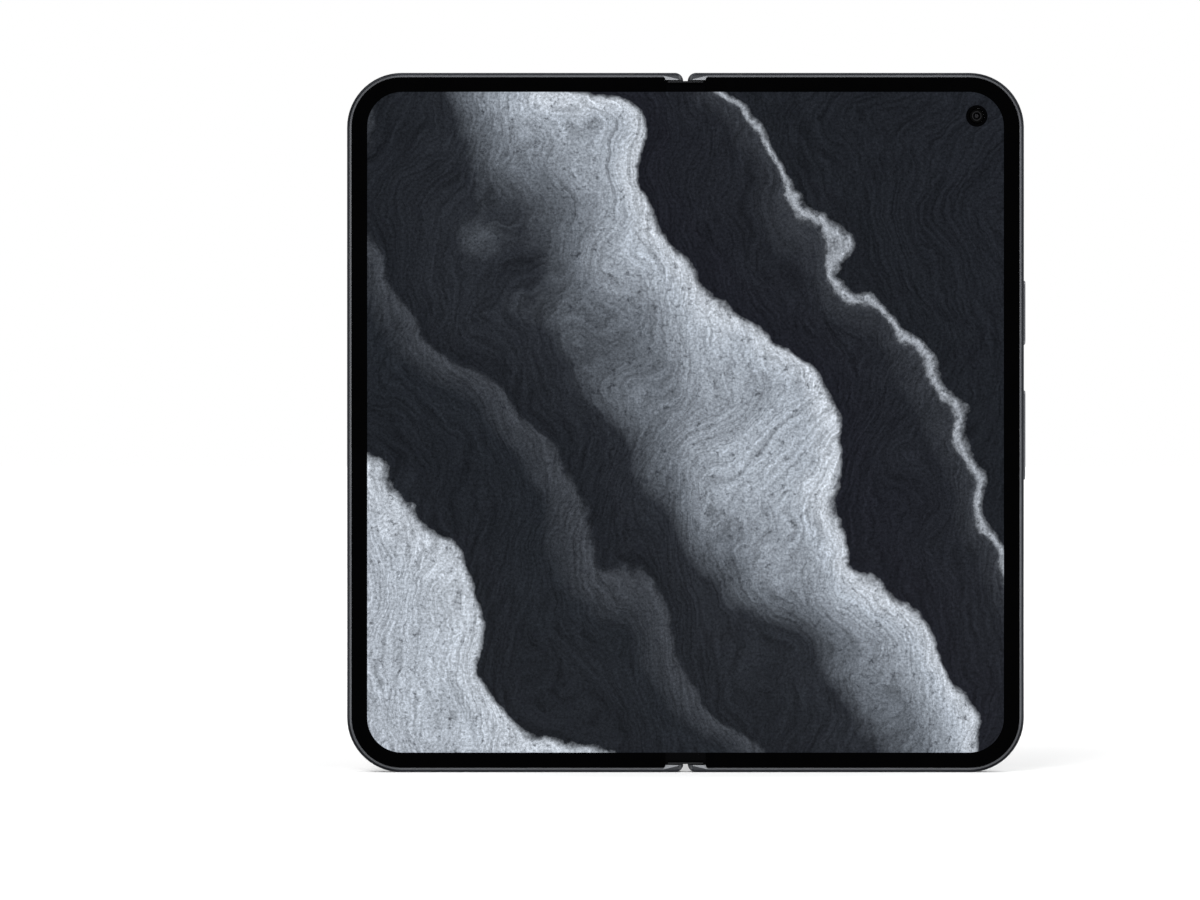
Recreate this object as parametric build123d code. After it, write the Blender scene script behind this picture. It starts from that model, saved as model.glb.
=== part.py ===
from build123d import *
import math
import os

# A book-style folding phone, open and standing upright.  Millimetres.
# X runs across the open phone, Z is up, and the inner display faces -Y.
# The origin is the bottom centre of the bounding box.  A "depth" is the
# distance behind the front plane of the bezel.  Pieces that both halves have
# are drawn for the right half (+X) and mirrored for the left one.

# ---- the whole phone
OPEN_WIDTH = 150.2
OPEN_HEIGHT = 155.2
THICKNESS = 5.1
CAMERA_BUMP = 2.9          # camera rings behind the back glass
OUTER_CORNER_R = 12.1

# ---- front stack, from the bezel plane backwards
BEZEL_RISE = 0.25          # display surface behind the bezel plane
BEZEL_T = 0.22
DISPLAY_T = 0.55
SUPPORT_T = 0.20           # metal plate bonded behind the display
BOND_GAP = 0.05            # adhesive film
WEB_T = 0.50               # floor of the frame between display and parts
GLASS_T = 0.60             # back glass and cover glass
FIT = 0.05                 # clearance around glued-in pieces

# ---- frame
FRAME_DROP = 0.15          # frame rim behind the bezel plane
RIM_BACK = 0.10            # frame rim in front of the rear glass plane
RIM_W = 1.00               # metal seen round the bezel
BAND_W = 2.20              # wall round the parts bay
EDGE_ROUND = 0.60
GLASS_INSET = 1.00         # metal seen round the rear glass
SEAT_R = 1.50              # inner corners of the rear glass
GLASS_EDGE_R = 0.09
BAY_IN = 10.5              # hinge-side wall of the parts bay
END_WALL = 1.70            # frame wall past each end of the spine
NOTCH_R = 1.85             # rounded frame corner at the hinge
NOTCH_EDGE = 0.50          # frame end beside the centre line
CAP_EDGE = 4.50            # bezel strips stop here, short of the hinge
CAP_R = 0.45               # rounded outer corner of a bezel strip's end
LIP_EDGE = 0.35            # rear lips stop here, beside the centre line
LIP_BACK = 4.90
LIP_T = 0.70
RAIL_OUT = 9.20            # hinge bay ends here

# ---- display
BORDER_SIDE = 4.50         # body edge to lit area
BORDER_TOP = 4.27
BORDER_BOTTOM = 4.39
LIT_CORNER_R = 7.70
FOLD_HALF = 9.00           # half width of the part that bends
LATTICE_COLUMNS = 7
LATTICE_PITCH_X = 1.00
LATTICE_ROWS = 23
LATTICE_PITCH_Z = 6.30
LATTICE_SLOT_L = 5.00
LATTICE_SLOT_W = 0.35

# ---- hinge
HINGE_AXIS_DEPTH = 2.25
CLOSED_GAP = 0.30          # between the bezels when shut
SPINE_GAP = 0.10           # between spine cover and rear lips
SPINE_WALL = 0.50
SPINE_END_GAP = 0.15
CAP_L = 1.50
MODULE_GAP = 0.10          # end float between hinge pieces
OUTER_KNUCKLE_L = 4.00
GEAR_L = 2.00
INNER_KNUCKLE_L = 3.00
ARM_L = 10.0
CLIP_COUNT = 4
CLIP_T = 0.90
CLIP_PITCH = 1.10
BASE_FLOOR_T = 0.35
FLOOR_HALF = 1.20
HUB_R = 0.95
SHAFT_R = 0.50
IDLER_SHAFT_R = 0.35
IDLER_SHAFT_L = 1.80       # in each knuckle
RUNNING_FIT = 0.05         # radial clearance of every shaft
CLIP_FIT = 0.02
CLIP_SLOT = 0.40
KNUCKLE_FIT = 0.05
ARM_CLEAR = 0.15           # arm behind the axis plane
ARM_NECK_T = 0.50          # thin part, which leaves room for the folded display
ARM_PAD_EDGE = 0.20        # thick part beyond the screw heads
ARM_END_GAP = 0.10
GEAR_TEETH = 8
TOOTH_ADDENDUM = 0.80      # in modules
TOOTH_DEDENDUM = 1.15
TIP_HALF_ANGLE = 5.0       # degrees
ROOT_HALF_ANGLE = 16.0
CENTRE_PLATE_HALF = 1.10
CENTRE_PLATE_T = 0.15
MIDDLE_BASE_L = 12.0
FLEX_COUNT = 2
FLEX_PITCH = 14.0
FLEX_GAP = 2.00            # top module to the first ribbon
FLEX_W = 10.0
FLEX_T = 0.12
FLEX_DROP = 0.15           # behind the lattice plate
FLEX_REACH = 16.0
CONNECTOR_L = 3.0

# ---- screws
SCREW_R = 0.60
SCREW_HEAD_R = 1.10
SCREW_HEAD_T = 0.40
SCREW_SINK = 0.05          # head below the surface
SCREW_FIT = 0.03
ARM_SCREW_X = 7.20
ARM_SCREW_PITCH = 5.60
ARM_SCREW_L = 1.60         # in the rail
BOSS_R = 1.60

# ---- antenna breaks in the metal band
BREAK_W = 1.20
BREAK_X = (12.05, 56.15)
BREAK_Z = 40.7             # from the bottom and from the top edge

# ---- buttons on the right edge
BUTTON_RISE = 0.44
BUTTON_W = 1.90
BUTTON_GAP = 0.10
BUTTON_EDGE_R = 0.30
POWER_DROP = 53.2          # button centres below the top edge
POWER_L = 14.3
VOLUME_DROP = 80.4
VOLUME_L = 19.9
FLANGE_OVER = 1.00         # flange beyond the slot, each end
FLANGE_T = 0.30
FLANGE_BACK = 0.35         # flange inside the band
BUTTON_TRAVEL = 0.25
SWITCH_GAP = 0.05          # left over when a button is down
SWITCH_T = 0.70
SWITCH_H = 2.35

# ---- boards, cells and small parts, all in the parts bay
BAY_GAP = 0.80             # bay wall to board
BOARD_LIFT = 0.45          # board above the web
BOARD_T = 0.80
BOARD_L = 60.7
LOWER_BOARD_TOP = 28.0
SHIELD_WALL = 0.20
MAIN_SHIELD_H = 1.30
LEFT_SHIELD_H = 0.95
CELL_GAP = 1.50
EDGE_STRIP = 4.50          # left free at the outer wall for magnets
RIGHT_CELL_T = 2.00
LEFT_CELL_T = 2.15
CELL_R = 2.00
FERRITE_T = 0.20
COIL_T = 0.25
COIL_R = 23.0
COIL_HOLE_R = 11.0
SPREADER_T = 0.30
SPREADER_W = 17.2
SPREADER_DOWN = 40.0       # behind the cell below the board
SPREADER_UP = 22.0
COVER_PANEL_T = 0.60
COVER_PANEL_MARGIN = 1.60
COVER_PANEL_R = 6.0
MAGNET_L = 10.0
MAGNET_W = 2.00
MAGNET_T = 2.00
MAGNET_RISE = 24.0         # lowest magnet above the bottom edge
MAGNET_KEY_GAP = 6.85      # from the volume key's flange to the magnet below it
MAGNET_DROP = 30.0         # highest magnet below the top edge

# ---- camera group on the back of the right half
ISLAND_EDGE = 18.5         # centre inside the outer edge
ISLAND_DROP = 38.0         # centre below the top edge
ISLAND_W = 27.0
ISLAND_L = 50.0
ISLAND_R = 8.0
ISLAND_EDGE_R = 0.70
ISLAND_WALL = 1.20
ISLAND_ROOF = 0.80
ISLAND_FLANGE = 1.20
FLANGE_PLATE_T = 0.30
RING_R = 6.20
RING_WALL = 0.95
RING_CHAMFER = 0.20
RING_STANDS = 0.30         # ring behind the island roof
RING_LEDGE = 0.80
WINDOW_T = 0.50
WINDOW_SINK = 0.15
CAMERA_COLUMN = 6.00       # lens centres either side of the island centre
CAMERA_ROW = 12.8
CAMERA_BOX = 10.4
SMALL_CAMERA_BOX = 9.2
CAMERA_BODY_T = 4.00
BARREL_R = 3.90
SMALL_BARREL_R = 3.40
BARREL_GAP = 0.30          # barrel behind the glass window
FLASH_R = 2.40
CUT_GAP = 0.40             # board cut-outs round the cameras

# ---- front cameras
INNER_CAMERA_EDGE = 10.5   # inside the outer edge
INNER_CAMERA_DROP = 9.60   # below the top edge
INNER_CAMERA_R = 1.70
FRONT_CAMERA_BOX = 6.00
INNER_CAMERA_T = 3.10
COVER_CAMERA_DROP = 7.60
FRONT_BARREL_R = 1.50
FRONT_BARREL_L = 0.70

# ---- bottom and top edge
USB_SHELL_W = 8.94
USB_SHELL_T = 3.16
USB_WALL = 0.30
USB_L = 7.30
USB_DEPTH = 2.72
TONGUE_W = 6.70
TONGUE_T = 0.70
TONGUE_L = 5.00
TONGUE_BACK = 1.00
GRILLE_HOLES = 6
GRILLE_R = 0.50
GRILLE_PITCH = 1.70
GRILLE_DEPTH = 2.72
SPEAKER_EDGE = 18.1
SPEAKER_W = 19.0
SPEAKER_L = 14.0
SPEAKER_T = 2.60
EARPIECE_EDGE = 15.1
EARPIECE_W = 13.0
EARPIECE_L = 6.50
EARPIECE_T = 2.00
MIC_X = 26.0
MIC_R = 0.45
HAPTIC_EDGE = 23.1
HAPTIC_W = 16.0
HAPTIC_L = 8.00
HAPTIC_T = 2.00

# ---- card tray in the bottom edge of the left half
TRAY_X = 28.0
TRAY_DEPTH = 2.70
TRAY_W = 11.0
TRAY_T = 1.10
TRAY_L = 17.0
TRAY_FACE_W = 12.6
TRAY_FACE_H = 1.90
TRAY_FACE_T = 0.80
TRAY_GAP = 0.10
CARD_W = 8.80
CARD_L = 12.3
CARD_T = 0.67
CARD_GAP = 0.10
CARD_FLOOR = 0.30
READER_WALL = 0.20
READER_GAP = 0.15
EJECT_HOLE_SIDE = 8.40     # beside the tray's centre
EJECT_HOLE_R = 0.45

# ---- places that follow from the sizes above
FRONT_Y = -(THICKNESS + CAMERA_BUMP) / 2
HALF_W = OPEN_WIDTH / 2
d_frame = FRAME_DROP
d_display = BEZEL_RISE
d_support = d_display + DISPLAY_T
d_support_back = d_support + SUPPORT_T
d_web = d_support_back + BOND_GAP
d_bay = d_web + WEB_T
d_glass = THICKNESS - GLASS_T
d_rear = THICKNESS - RIM_BACK
d_lip = d_rear - LIP_T
d_arm_back = HINGE_AXIS_DEPTH - ARM_CLEAR
d_board = d_bay + BOARD_LIFT
d_board_back = d_board + BOARD_T
d_right_cell = d_bay + SPREADER_T
axis_x = HINGE_AXIS_DEPTH + CLOSED_GAP / 2
gear_spacing = 2 * axis_x / 3
idler_x = gear_spacing / 2
spine_r = d_lip - SPINE_GAP - HINGE_AXIS_DEPTH
spine_inner_r = spine_r - SPINE_WALL
d_spine_floor = HINGE_AXIS_DEPTH + spine_inner_r
spine_end = END_WALL + SPINE_END_GAP
d_knuckle = d_support_back + CENTRE_PLATE_T
bay_out = HALF_W - BAND_W
bay_top = OPEN_HEIGHT - BAND_W
bay_corner_r = OUTER_CORNER_R - BAND_W
board_bottom = bay_top - BAY_GAP - BOARD_L
cell_bottom = LOWER_BOARD_TOP + CELL_GAP
cell_top = board_bottom - CELL_GAP
cell_out = bay_out - EDGE_STRIP
power_z = OPEN_HEIGHT - POWER_DROP
volume_z = OPEN_HEIGHT - VOLUME_DROP
island_x = HALF_W - ISLAND_EDGE
island_z = OPEN_HEIGHT - ISLAND_DROP
inner_camera_x = HALF_W - INNER_CAMERA_EDGE
usb_x = HALF_W / 2
speaker_x = HALF_W - SPEAKER_EDGE
earpiece_x = HALF_W - EARPIECE_EDGE
haptic_x = HALF_W - HAPTIC_EDGE
eject_hole_x = TRAY_X + EJECT_HOLE_SIDE
inner_boss_x = FLEX_REACH + CELL_GAP + BOSS_R
spreader_in = inner_boss_x + BOSS_R + CELL_GAP
spreader_out = spreader_in + SPREADER_W
camera_places = {
    "main": (island_x - CAMERA_COLUMN, island_z + CAMERA_ROW, CAMERA_BOX, BARREL_R),
    "ultrawide": (island_x - CAMERA_COLUMN, island_z - CAMERA_ROW, SMALL_CAMERA_BOX, SMALL_BARREL_R),
    "telephoto": (island_x + CAMERA_COLUMN, island_z, SMALL_CAMERA_BOX, SMALL_BARREL_R),
}
flash_place = (island_x + CAMERA_COLUMN, island_z + CAMERA_ROW)
d_card = TRAY_DEPTH - TRAY_T / 2 + CARD_FLOOR
d_ring_top = THICKNESS + CAMERA_BUMP
d_island_top = d_ring_top - RING_STANDS
inner_camera_z = OPEN_HEIGHT - INNER_CAMERA_DROP
cover_camera_z = OPEN_HEIGHT - COVER_CAMERA_DROP
cover_camera_x = (LIP_BACK + HALF_W) / 2


# ---- drawing helpers
def slab(face, near, far):
    """Extrude a face drawn in X and Z over a range of depths."""
    plane = Plane(origin=(0, FRONT_Y + far, 0), x_dir=(1, 0, 0), z_dir=(0, -1, 0))
    return extrude(plane * face, amount=far - near)


def rect(x0, x1, z0, z1):
    return Pos((x0 + x1) / 2, (z0 + z1) / 2) * Rectangle(x1 - x0, z1 - z0)


def block(x0, x1, near, far, z0, z1):
    return slab(rect(x0, x1, z0, z1), near, far)


def centred_block(x, z, width, length, near, far):
    return block(x - width / 2, x + width / 2, near, far, z - length / 2, z + length / 2)


def disc(x, z, radius, near, far):
    return slab(Pos(x, z) * Circle(radius), near, far)


def upright(face, z0, z1):
    """Extrude a face drawn in X and depth over a range of heights."""
    return Pos(0, FRONT_Y, z0) * extrude(face, amount=z1 - z0)


def rod(x, depth, radius, z0, z1):
    return upright(Pos(x, depth) * Circle(radius), z0, z1)


def rounded(x0, x1, z0, z1, outer_r, inner_r=0.0):
    """A rectangle with its own radius on the hinge side (low X) and outside."""
    face = rect(x0, x1, z0, z1)
    if outer_r > 0:
        face = fillet(face.vertices().group_by(Axis.X)[-1], outer_r)
    if inner_r > 0:
        face = fillet(face.vertices().group_by(Axis.X)[0], inner_r)
    return face


def half_outline(inset, inner_x, inner_r=0.0):
    return rounded(inner_x, HALF_W - inset, inset, OPEN_HEIGHT - inset, OUTER_CORNER_R - inset, inner_r)


def bay_outline(inset):
    return rounded(
        BAY_IN + inset, bay_out - inset, BAND_W + inset, bay_top - inset, bay_corner_r - inset, SEAT_R
    )


def pill(length, width, x0, x1, z, depth):
    """A pill-shaped bar through the side wall, long along Z."""
    plane = Plane(origin=(x0, FRONT_Y + depth, z), x_dir=(0, 1, 0), z_dir=(1, 0, 0))
    return extrude(plane * SlotOverall(length, width, rotation=90), amount=x1 - x0)


def to_left(shape):
    return mirror(shape, about=Plane.YZ)


def to_top(shape):
    """Mirror a piece of the bottom hinge module to the top one."""
    return mirror(shape, about=Plane(origin=(0, 0, OPEN_HEIGHT / 2), z_dir=(0, 0, 1)))


def group(shapes):
    solids = [solid for shape in shapes for solid in shape.solids()]
    return Compound(solids)


# ---- frames
def frame_blank():
    """The full block of one half, with rounded outer edges."""
    blank = slab(half_outline(0, NOTCH_EDGE, NOTCH_R), d_frame, d_rear)
    front = blank.faces().sort_by(Axis.Y)[0]
    back = blank.faces().sort_by(Axis.Y)[-1]
    return fillet(front.edges() + back.edges(), EDGE_ROUND)


def swing_relief():
    """What is taken off the front inner corner so that the halves can turn."""
    corner = Pos(axis_x / 2, HINGE_AXIS_DEPTH / 2) * Rectangle(axis_x, HINGE_AXIS_DEPTH)
    swing = Pos(axis_x, HINGE_AXIS_DEPTH) * Circle(HINGE_AXIS_DEPTH)
    return upright(corner - swing, 0, OPEN_HEIGHT)


def break_slots():
    """Cuts across the metal band for the antenna breaks."""
    slots = []
    for x in BREAK_X:
        for z0, z1 in ((0, RIM_W), (OPEN_HEIGHT - RIM_W, OPEN_HEIGHT)):
            slots.append(block(x - BREAK_W / 2, x + BREAK_W / 2, d_frame, d_rear, z0, z1))
    for z in (BREAK_Z, OPEN_HEIGHT - BREAK_Z):
        slots.append(block(HALF_W - RIM_W, HALF_W, d_frame, d_rear, z - BREAK_W / 2, z + BREAK_W / 2))
    return slots


def display_pocket():
    wide = half_outline(RIM_W, CAP_EDGE, CAP_R)
    beside_hinge = rect(0, CAP_EDGE, END_WALL, OPEN_HEIGHT - END_WALL)
    return slab(wide + beside_hinge, 0, d_web)


def hinge_bay():
    under_lip = block(0, LIP_BACK, 0, d_lip, END_WALL, OPEN_HEIGHT - END_WALL)
    rail_top = block(LIP_BACK, RAIL_OUT, 0, d_arm_back, END_WALL, OPEN_HEIGHT - END_WALL)
    return under_lip + rail_top


def flex_centres():
    first = OPEN_HEIGHT - module_end() - FLEX_GAP - FLEX_W / 2
    return [first - i * FLEX_PITCH for i in range(FLEX_COUNT)]


def flex_windows():
    windows = []
    for z in flex_centres():
        half = FLEX_W / 2 + BUTTON_GAP
        windows.append(block(RAIL_OUT, FLEX_REACH + BUTTON_GAP, 0, d_bay, z - half, z + half))
    return windows


def arm_screw_places():
    middle = arm_start() + ARM_L / 2
    low = [(ARM_SCREW_X, middle + side * ARM_SCREW_PITCH / 2) for side in (-1, 1)]
    return low + [(x, OPEN_HEIGHT - z) for x, z in low]


def board_screw_places():
    low = board_bottom + BOSS_R + CELL_GAP
    high = bay_top - BAY_GAP - BOSS_R - CELL_GAP
    return [(inner_boss_x, low), (inner_boss_x, high), (spreader_out + CELL_GAP + BOSS_R, low)]


def plain_frame():
    """What both frames have."""
    frame = frame_blank()
    frame += block(LIP_EDGE, LIP_BACK, d_lip, d_rear, END_WALL, OPEN_HEIGHT - END_WALL)
    hole_r = SCREW_R + SCREW_FIT
    cuts = [swing_relief(), display_pocket(), hinge_bay(), parts_bay(), glass_seat()]
    cuts += break_slots() + flex_windows()
    cuts += [disc(x, z, hole_r, 0, d_arm_back + ARM_SCREW_L) for x, z in arm_screw_places()]
    frame -= cuts
    bosses = [
        disc(x, z, BOSS_R, d_bay, d_board) - disc(x, z, hole_r, d_bay, d_board)
        for x, z in board_screw_places()
    ]
    return frame + bosses


def parts_bay():
    return slab(bay_outline(0), d_bay, d_glass)


def glass_seat():
    return slab(half_outline(GLASS_INSET, LIP_BACK, SEAT_R), d_glass, THICKNESS)


def side_slot(length, z):
    return pill(
        length + 2 * BUTTON_GAP, BUTTON_W + 2 * BUTTON_GAP, bay_out - FIT, HALF_W + FIT, z, button_depth()
    )


def button_depth():
    return (d_frame + d_rear) / 2


def grille(x, z0, z1):
    first = x - (GRILLE_HOLES - 1) * GRILLE_PITCH / 2
    return [
        rod(first + i * GRILLE_PITCH, GRILLE_DEPTH, GRILLE_R, z0, z1) for i in range(GRILLE_HOLES)
    ]


def usb_bar(width, thickness, z0, z1):
    return upright(Pos(usb_x, USB_DEPTH) * SlotOverall(width, thickness), z0, z1)


def right_frame():
    camera_cut = FRONT_CAMERA_BOX + 2 * BUTTON_GAP
    cuts = [
        side_slot(POWER_L, power_z),
        side_slot(VOLUME_L, volume_z),
        usb_bar(USB_SHELL_W + 2 * FIT, USB_SHELL_T + 2 * FIT, 0, USB_L + BUTTON_GAP),
        rod(MIC_X, GRILLE_DEPTH, MIC_R, 0, BAND_W),
        centred_block(inner_camera_x, inner_camera_z, camera_cut, camera_cut, 0, d_bay),
    ]
    return plain_frame() - (cuts + grille(speaker_x, 0, BAND_W))


def left_frame():
    """Drawn on the right, then mirrored."""
    cuts = [
        tray_face(TRAY_GAP, TRAY_FACE_T + TRAY_GAP),
        tray_bar(TRAY_W + 2 * TRAY_GAP, TRAY_T + 2 * TRAY_GAP, 0, BAND_W),
        rod(eject_hole_x, TRAY_DEPTH, EJECT_HOLE_R, 0, BAND_W),
    ]
    return to_left(plain_frame() - (cuts + grille(earpiece_x, bay_top, OPEN_HEIGHT)))


def antenna_inserts():
    blank = frame_blank() - glass_seat()
    return group([blank & slot for slot in break_slots()])


# ---- display and bezel
def lit_area(inner_x):
    return rounded(inner_x, HALF_W - BORDER_SIDE, BORDER_BOTTOM, OPEN_HEIGHT - BORDER_TOP, LIT_CORNER_R)


def bezel():
    strip = half_outline(RIM_W + FIT, CAP_EDGE, CAP_R) - lit_area(0)
    return slab(strip, 0, BEZEL_T)


def rigid_layer(near, far):
    """One rigid layer of a half's display, from the fold strip outwards."""
    return slab(half_outline(RIM_W + FIT, FOLD_HALF + FIT), near, far)


def fold_outline():
    wide = rect(-FOLD_HALF, FOLD_HALF, RIM_W + FIT, OPEN_HEIGHT - RIM_W - FIT)
    reach = CAP_EDGE + CAP_R + FIT
    ends = [
        rect(-reach, reach, 0, spine_end),
        rect(-reach, reach, OPEN_HEIGHT - spine_end, OPEN_HEIGHT),
    ]
    return wide - ends


def right_display(near, far):
    layer = rigid_layer(near, far)
    return layer - disc(inner_camera_x, inner_camera_z, INNER_CAMERA_R, 0, d_web)


def lattice_plate():
    """The metal backing of the fold strip, slotted so that it bends."""
    slot = SlotOverall(LATTICE_SLOT_L, LATTICE_SLOT_W, rotation=90)
    slots = []
    for column in range(LATTICE_COLUMNS):
        x = (column - (LATTICE_COLUMNS - 1) / 2) * LATTICE_PITCH_X
        rows = LATTICE_ROWS - column % 2
        for row in range(rows):
            z = OPEN_HEIGHT / 2 + (row - (rows - 1) / 2) * LATTICE_PITCH_Z
            slots.append(slab(Pos(x, z) * slot, d_support, d_support_back))
    return slab(fold_outline(), d_support, d_support_back) - slots


# ---- hinge, bottom module first
def gear_start():
    return spine_end + CAP_L + MODULE_GAP + OUTER_KNUCKLE_L + MODULE_GAP


def arm_start():
    return gear_start() + GEAR_L + MODULE_GAP + INNER_KNUCKLE_L + MODULE_GAP


def clip_start():
    return arm_start() + ARM_L + MODULE_GAP + INNER_KNUCKLE_L + MODULE_GAP


def module_end():
    return clip_start() + CLIP_COUNT * CLIP_PITCH


def gear_face(x, tooth_angle):
    """A small spur gear whose first tooth points at tooth_angle, in degrees."""
    module = gear_spacing / GEAR_TEETH
    tip_r = gear_spacing / 2 + TOOTH_ADDENDUM * module
    root_r = gear_spacing / 2 - TOOTH_DEDENDUM * module
    corners = []
    for tooth in range(GEAR_TEETH):
        middle = tooth_angle + tooth * 360 / GEAR_TEETH
        steps = (
            (root_r, -ROOT_HALF_ANGLE), (tip_r, -TIP_HALF_ANGLE),
            (tip_r, TIP_HALF_ANGLE), (root_r, ROOT_HALF_ANGLE),
        )
        for radius, turn in steps:
            angle = math.radians(middle + turn)
            corners.append((radius * math.cos(angle), radius * math.sin(angle)))
    return Pos(x, HINGE_AXIS_DEPTH) * make_face(Polyline(*corners, close=True))


def hinge_arm(tooth_angle):
    """Shaft, gear and screw-on arm of one half, bottom module."""
    z0, z1 = arm_start(), arm_start() + ARM_L
    near = d_web + FIT
    pad = ARM_SCREW_X - SCREW_HEAD_R - ARM_PAD_EDGE
    arm = rod(axis_x, HINGE_AXIS_DEPTH, SHAFT_R, spine_end + CAP_L + MODULE_GAP, module_end())
    arm += [
        upright(gear_face(axis_x, tooth_angle), gear_start(), gear_start() + GEAR_L),
        rod(axis_x, HINGE_AXIS_DEPTH, HUB_R, z0, z1),
        block(axis_x, pad, d_arm_back - ARM_NECK_T, d_arm_back, z0, z1),
        block(pad, RAIL_OUT - ARM_END_GAP, near, d_arm_back, z0, z1),
    ]
    sink = near + SCREW_SINK + SCREW_HEAD_T
    for x, z in arm_screw_places()[:2]:
        arm -= disc(x, z, SCREW_R + SCREW_FIT, near, d_arm_back)
        arm -= disc(x, z, SCREW_HEAD_R + SCREW_FIT, near, sink)
    return arm


def idler_ends():
    gear_end = gear_start() + GEAR_L + MODULE_GAP
    return gear_start() - MODULE_GAP - IDLER_SHAFT_L, gear_end + IDLER_SHAFT_L


def idler(x, tooth_angle):
    low, high = idler_ends()
    gear = upright(gear_face(x, tooth_angle), gear_start(), gear_start() + GEAR_L)
    return gear + rod(x, HINGE_AXIS_DEPTH, IDLER_SHAFT_R, low, high)


def knuckle_face():
    r = spine_inner_r - KNUCKLE_FIT
    front = Pos(0, (d_knuckle + HINGE_AXIS_DEPTH) / 2) * Rectangle(
        2 * (axis_x + r), HINGE_AXIS_DEPTH - d_knuckle
    )
    floor = Pos(0, (HINGE_AXIS_DEPTH + d_spine_floor) / 2) * Rectangle(
        2 * axis_x, d_spine_floor - HINGE_AXIS_DEPTH
    )
    return spine_face(r) + front + floor


def hinge_base():
    """Three knuckles on a floor plate, bored for the shafts."""
    first = spine_end + CAP_L + MODULE_GAP
    spans = (
        (first, first + OUTER_KNUCKLE_L),
        (gear_start() + GEAR_L + MODULE_GAP, arm_start() - MODULE_GAP),
        (arm_start() + ARM_L + MODULE_GAP, clip_start() - MODULE_GAP),
    )
    floor = Pos(0, d_spine_floor - BASE_FLOOR_T / 2) * Rectangle(2 * FLOOR_HALF, BASE_FLOOR_T)
    base = upright(floor, first, module_end())
    base += [upright(knuckle_face(), z0, z1) for z0, z1 in spans]
    low, high = idler_ends()
    bores = []
    for side in (-1, 1):
        bores.append(rod(side * axis_x, HINGE_AXIS_DEPTH, SHAFT_R + RUNNING_FIT, first, module_end()))
        idler_bore_r = IDLER_SHAFT_R + RUNNING_FIT
        bores.append(rod(side * idler_x, HINGE_AXIS_DEPTH, idler_bore_r, low - MODULE_GAP, high + MODULE_GAP))
    return base - bores


def middle_base():
    half = MIDDLE_BASE_L / 2
    return upright(knuckle_face(), OPEN_HEIGHT / 2 - half, OPEN_HEIGHT / 2 + half)


def friction_clip(z0):
    """A spring plate that grips both shafts; its slots open to the front."""
    top = d_knuckle + KNUCKLE_FIT
    bottom = d_spine_floor - BASE_FLOOR_T
    width = 2 * (axis_x + HUB_R)
    face = Pos(0, (top + bottom) / 2) * Rectangle(width, bottom - top)
    for side in (-1, 1):
        face -= Pos(side * axis_x, HINGE_AXIS_DEPTH) * Circle(SHAFT_R + CLIP_FIT)
        face -= Pos(side * axis_x, (top + HINGE_AXIS_DEPTH) / 2) * Rectangle(
            CLIP_SLOT, HINGE_AXIS_DEPTH - top
        )
    return upright(face, z0, z0 + CLIP_T)


def friction_clips():
    low = [friction_clip(clip_start() + i * CLIP_PITCH) for i in range(CLIP_COUNT)]
    return group(low + [to_top(clip) for clip in low])


def spine_face(radius):
    sides = [Pos(side * axis_x, HINGE_AXIS_DEPTH) * Circle(radius) for side in (-1, 1)]
    middle = Pos(0, HINGE_AXIS_DEPTH + radius / 2) * Rectangle(2 * axis_x, radius)
    front = Pos(0, HINGE_AXIS_DEPTH - radius) * Rectangle(4 * (axis_x + radius), 2 * radius)
    return middle + sides - front


def spine_cover():
    shell = spine_face(spine_r) - spine_face(spine_inner_r)
    return upright(shell, spine_end, OPEN_HEIGHT - spine_end)


def spine_cap():
    return upright(spine_face(spine_inner_r - KNUCKLE_FIT), spine_end, spine_end + CAP_L)


def centre_plate():
    start = spine_end + CAP_L + MODULE_GAP
    return block(
        -CENTRE_PLATE_HALF, CENTRE_PLATE_HALF, d_support_back, d_knuckle, start, OPEN_HEIGHT - start
    )


def hinge_flex(z):
    """A ribbon from board to board, under the lattice plate."""
    near = d_knuckle + FLEX_DROP
    ribbon = block(-FLEX_REACH, FLEX_REACH, near, near + FLEX_T, z - FLEX_W / 2, z + FLEX_W / 2)
    for side in (-1, 1):
        middle = side * (FLEX_REACH - CONNECTOR_L / 2)
        ribbon += centred_block(middle, z, CONNECTOR_L, FLEX_W, near + FLEX_T, d_board)
    return ribbon


# ---- fasteners
def screw(x, z, head, length, way):
    """A screw whose head's outer face is at depth head; way is +1 backwards."""
    ends = sorted((head, head + way * SCREW_HEAD_T))
    tip = sorted((head + way * SCREW_HEAD_T, head + way * (SCREW_HEAD_T + length)))
    return disc(x, z, SCREW_HEAD_R, *ends) + disc(x, z, SCREW_R, *tip)


def half_screws():
    head = d_web + FIT + SCREW_SINK
    arm_shank = d_arm_back - head - SCREW_HEAD_T + ARM_SCREW_L - SCREW_SINK
    screws = [screw(x, z, head, arm_shank, 1) for x, z in arm_screw_places()]
    board_head = d_board_back + SCREW_HEAD_T
    board_shank = BOARD_T + BOARD_LIFT - SCREW_SINK
    screws += [screw(x, z, board_head, board_shank, -1) for x, z in board_screw_places()]
    return group(screws)


# ---- boards and cells
def board_face(cuts):
    area = rect(BAY_IN, HALF_W, board_bottom, OPEN_HEIGHT)
    face = bay_outline(BAY_GAP) & area
    face -= rect(cell_out, HALF_W, board_bottom, OPEN_HEIGHT - OUTER_CORNER_R)
    for x, z, width, length in cuts:
        grown = (width / 2 + CUT_GAP, length / 2 + CUT_GAP)
        face -= rect(x - grown[0], x + grown[0], z - grown[1], z + grown[1])
    for x, z in board_screw_places():
        face -= Pos(x, z) * Circle(SCREW_R + SCREW_FIT)
    return face


def main_board():
    cuts = [(x, z, box, box) for x, z, box, _ in camera_places.values()]
    cuts.append((inner_camera_x, inner_camera_z, FRONT_CAMERA_BOX, FRONT_CAMERA_BOX))
    return slab(board_face(cuts), d_board, d_board_back)


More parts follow.
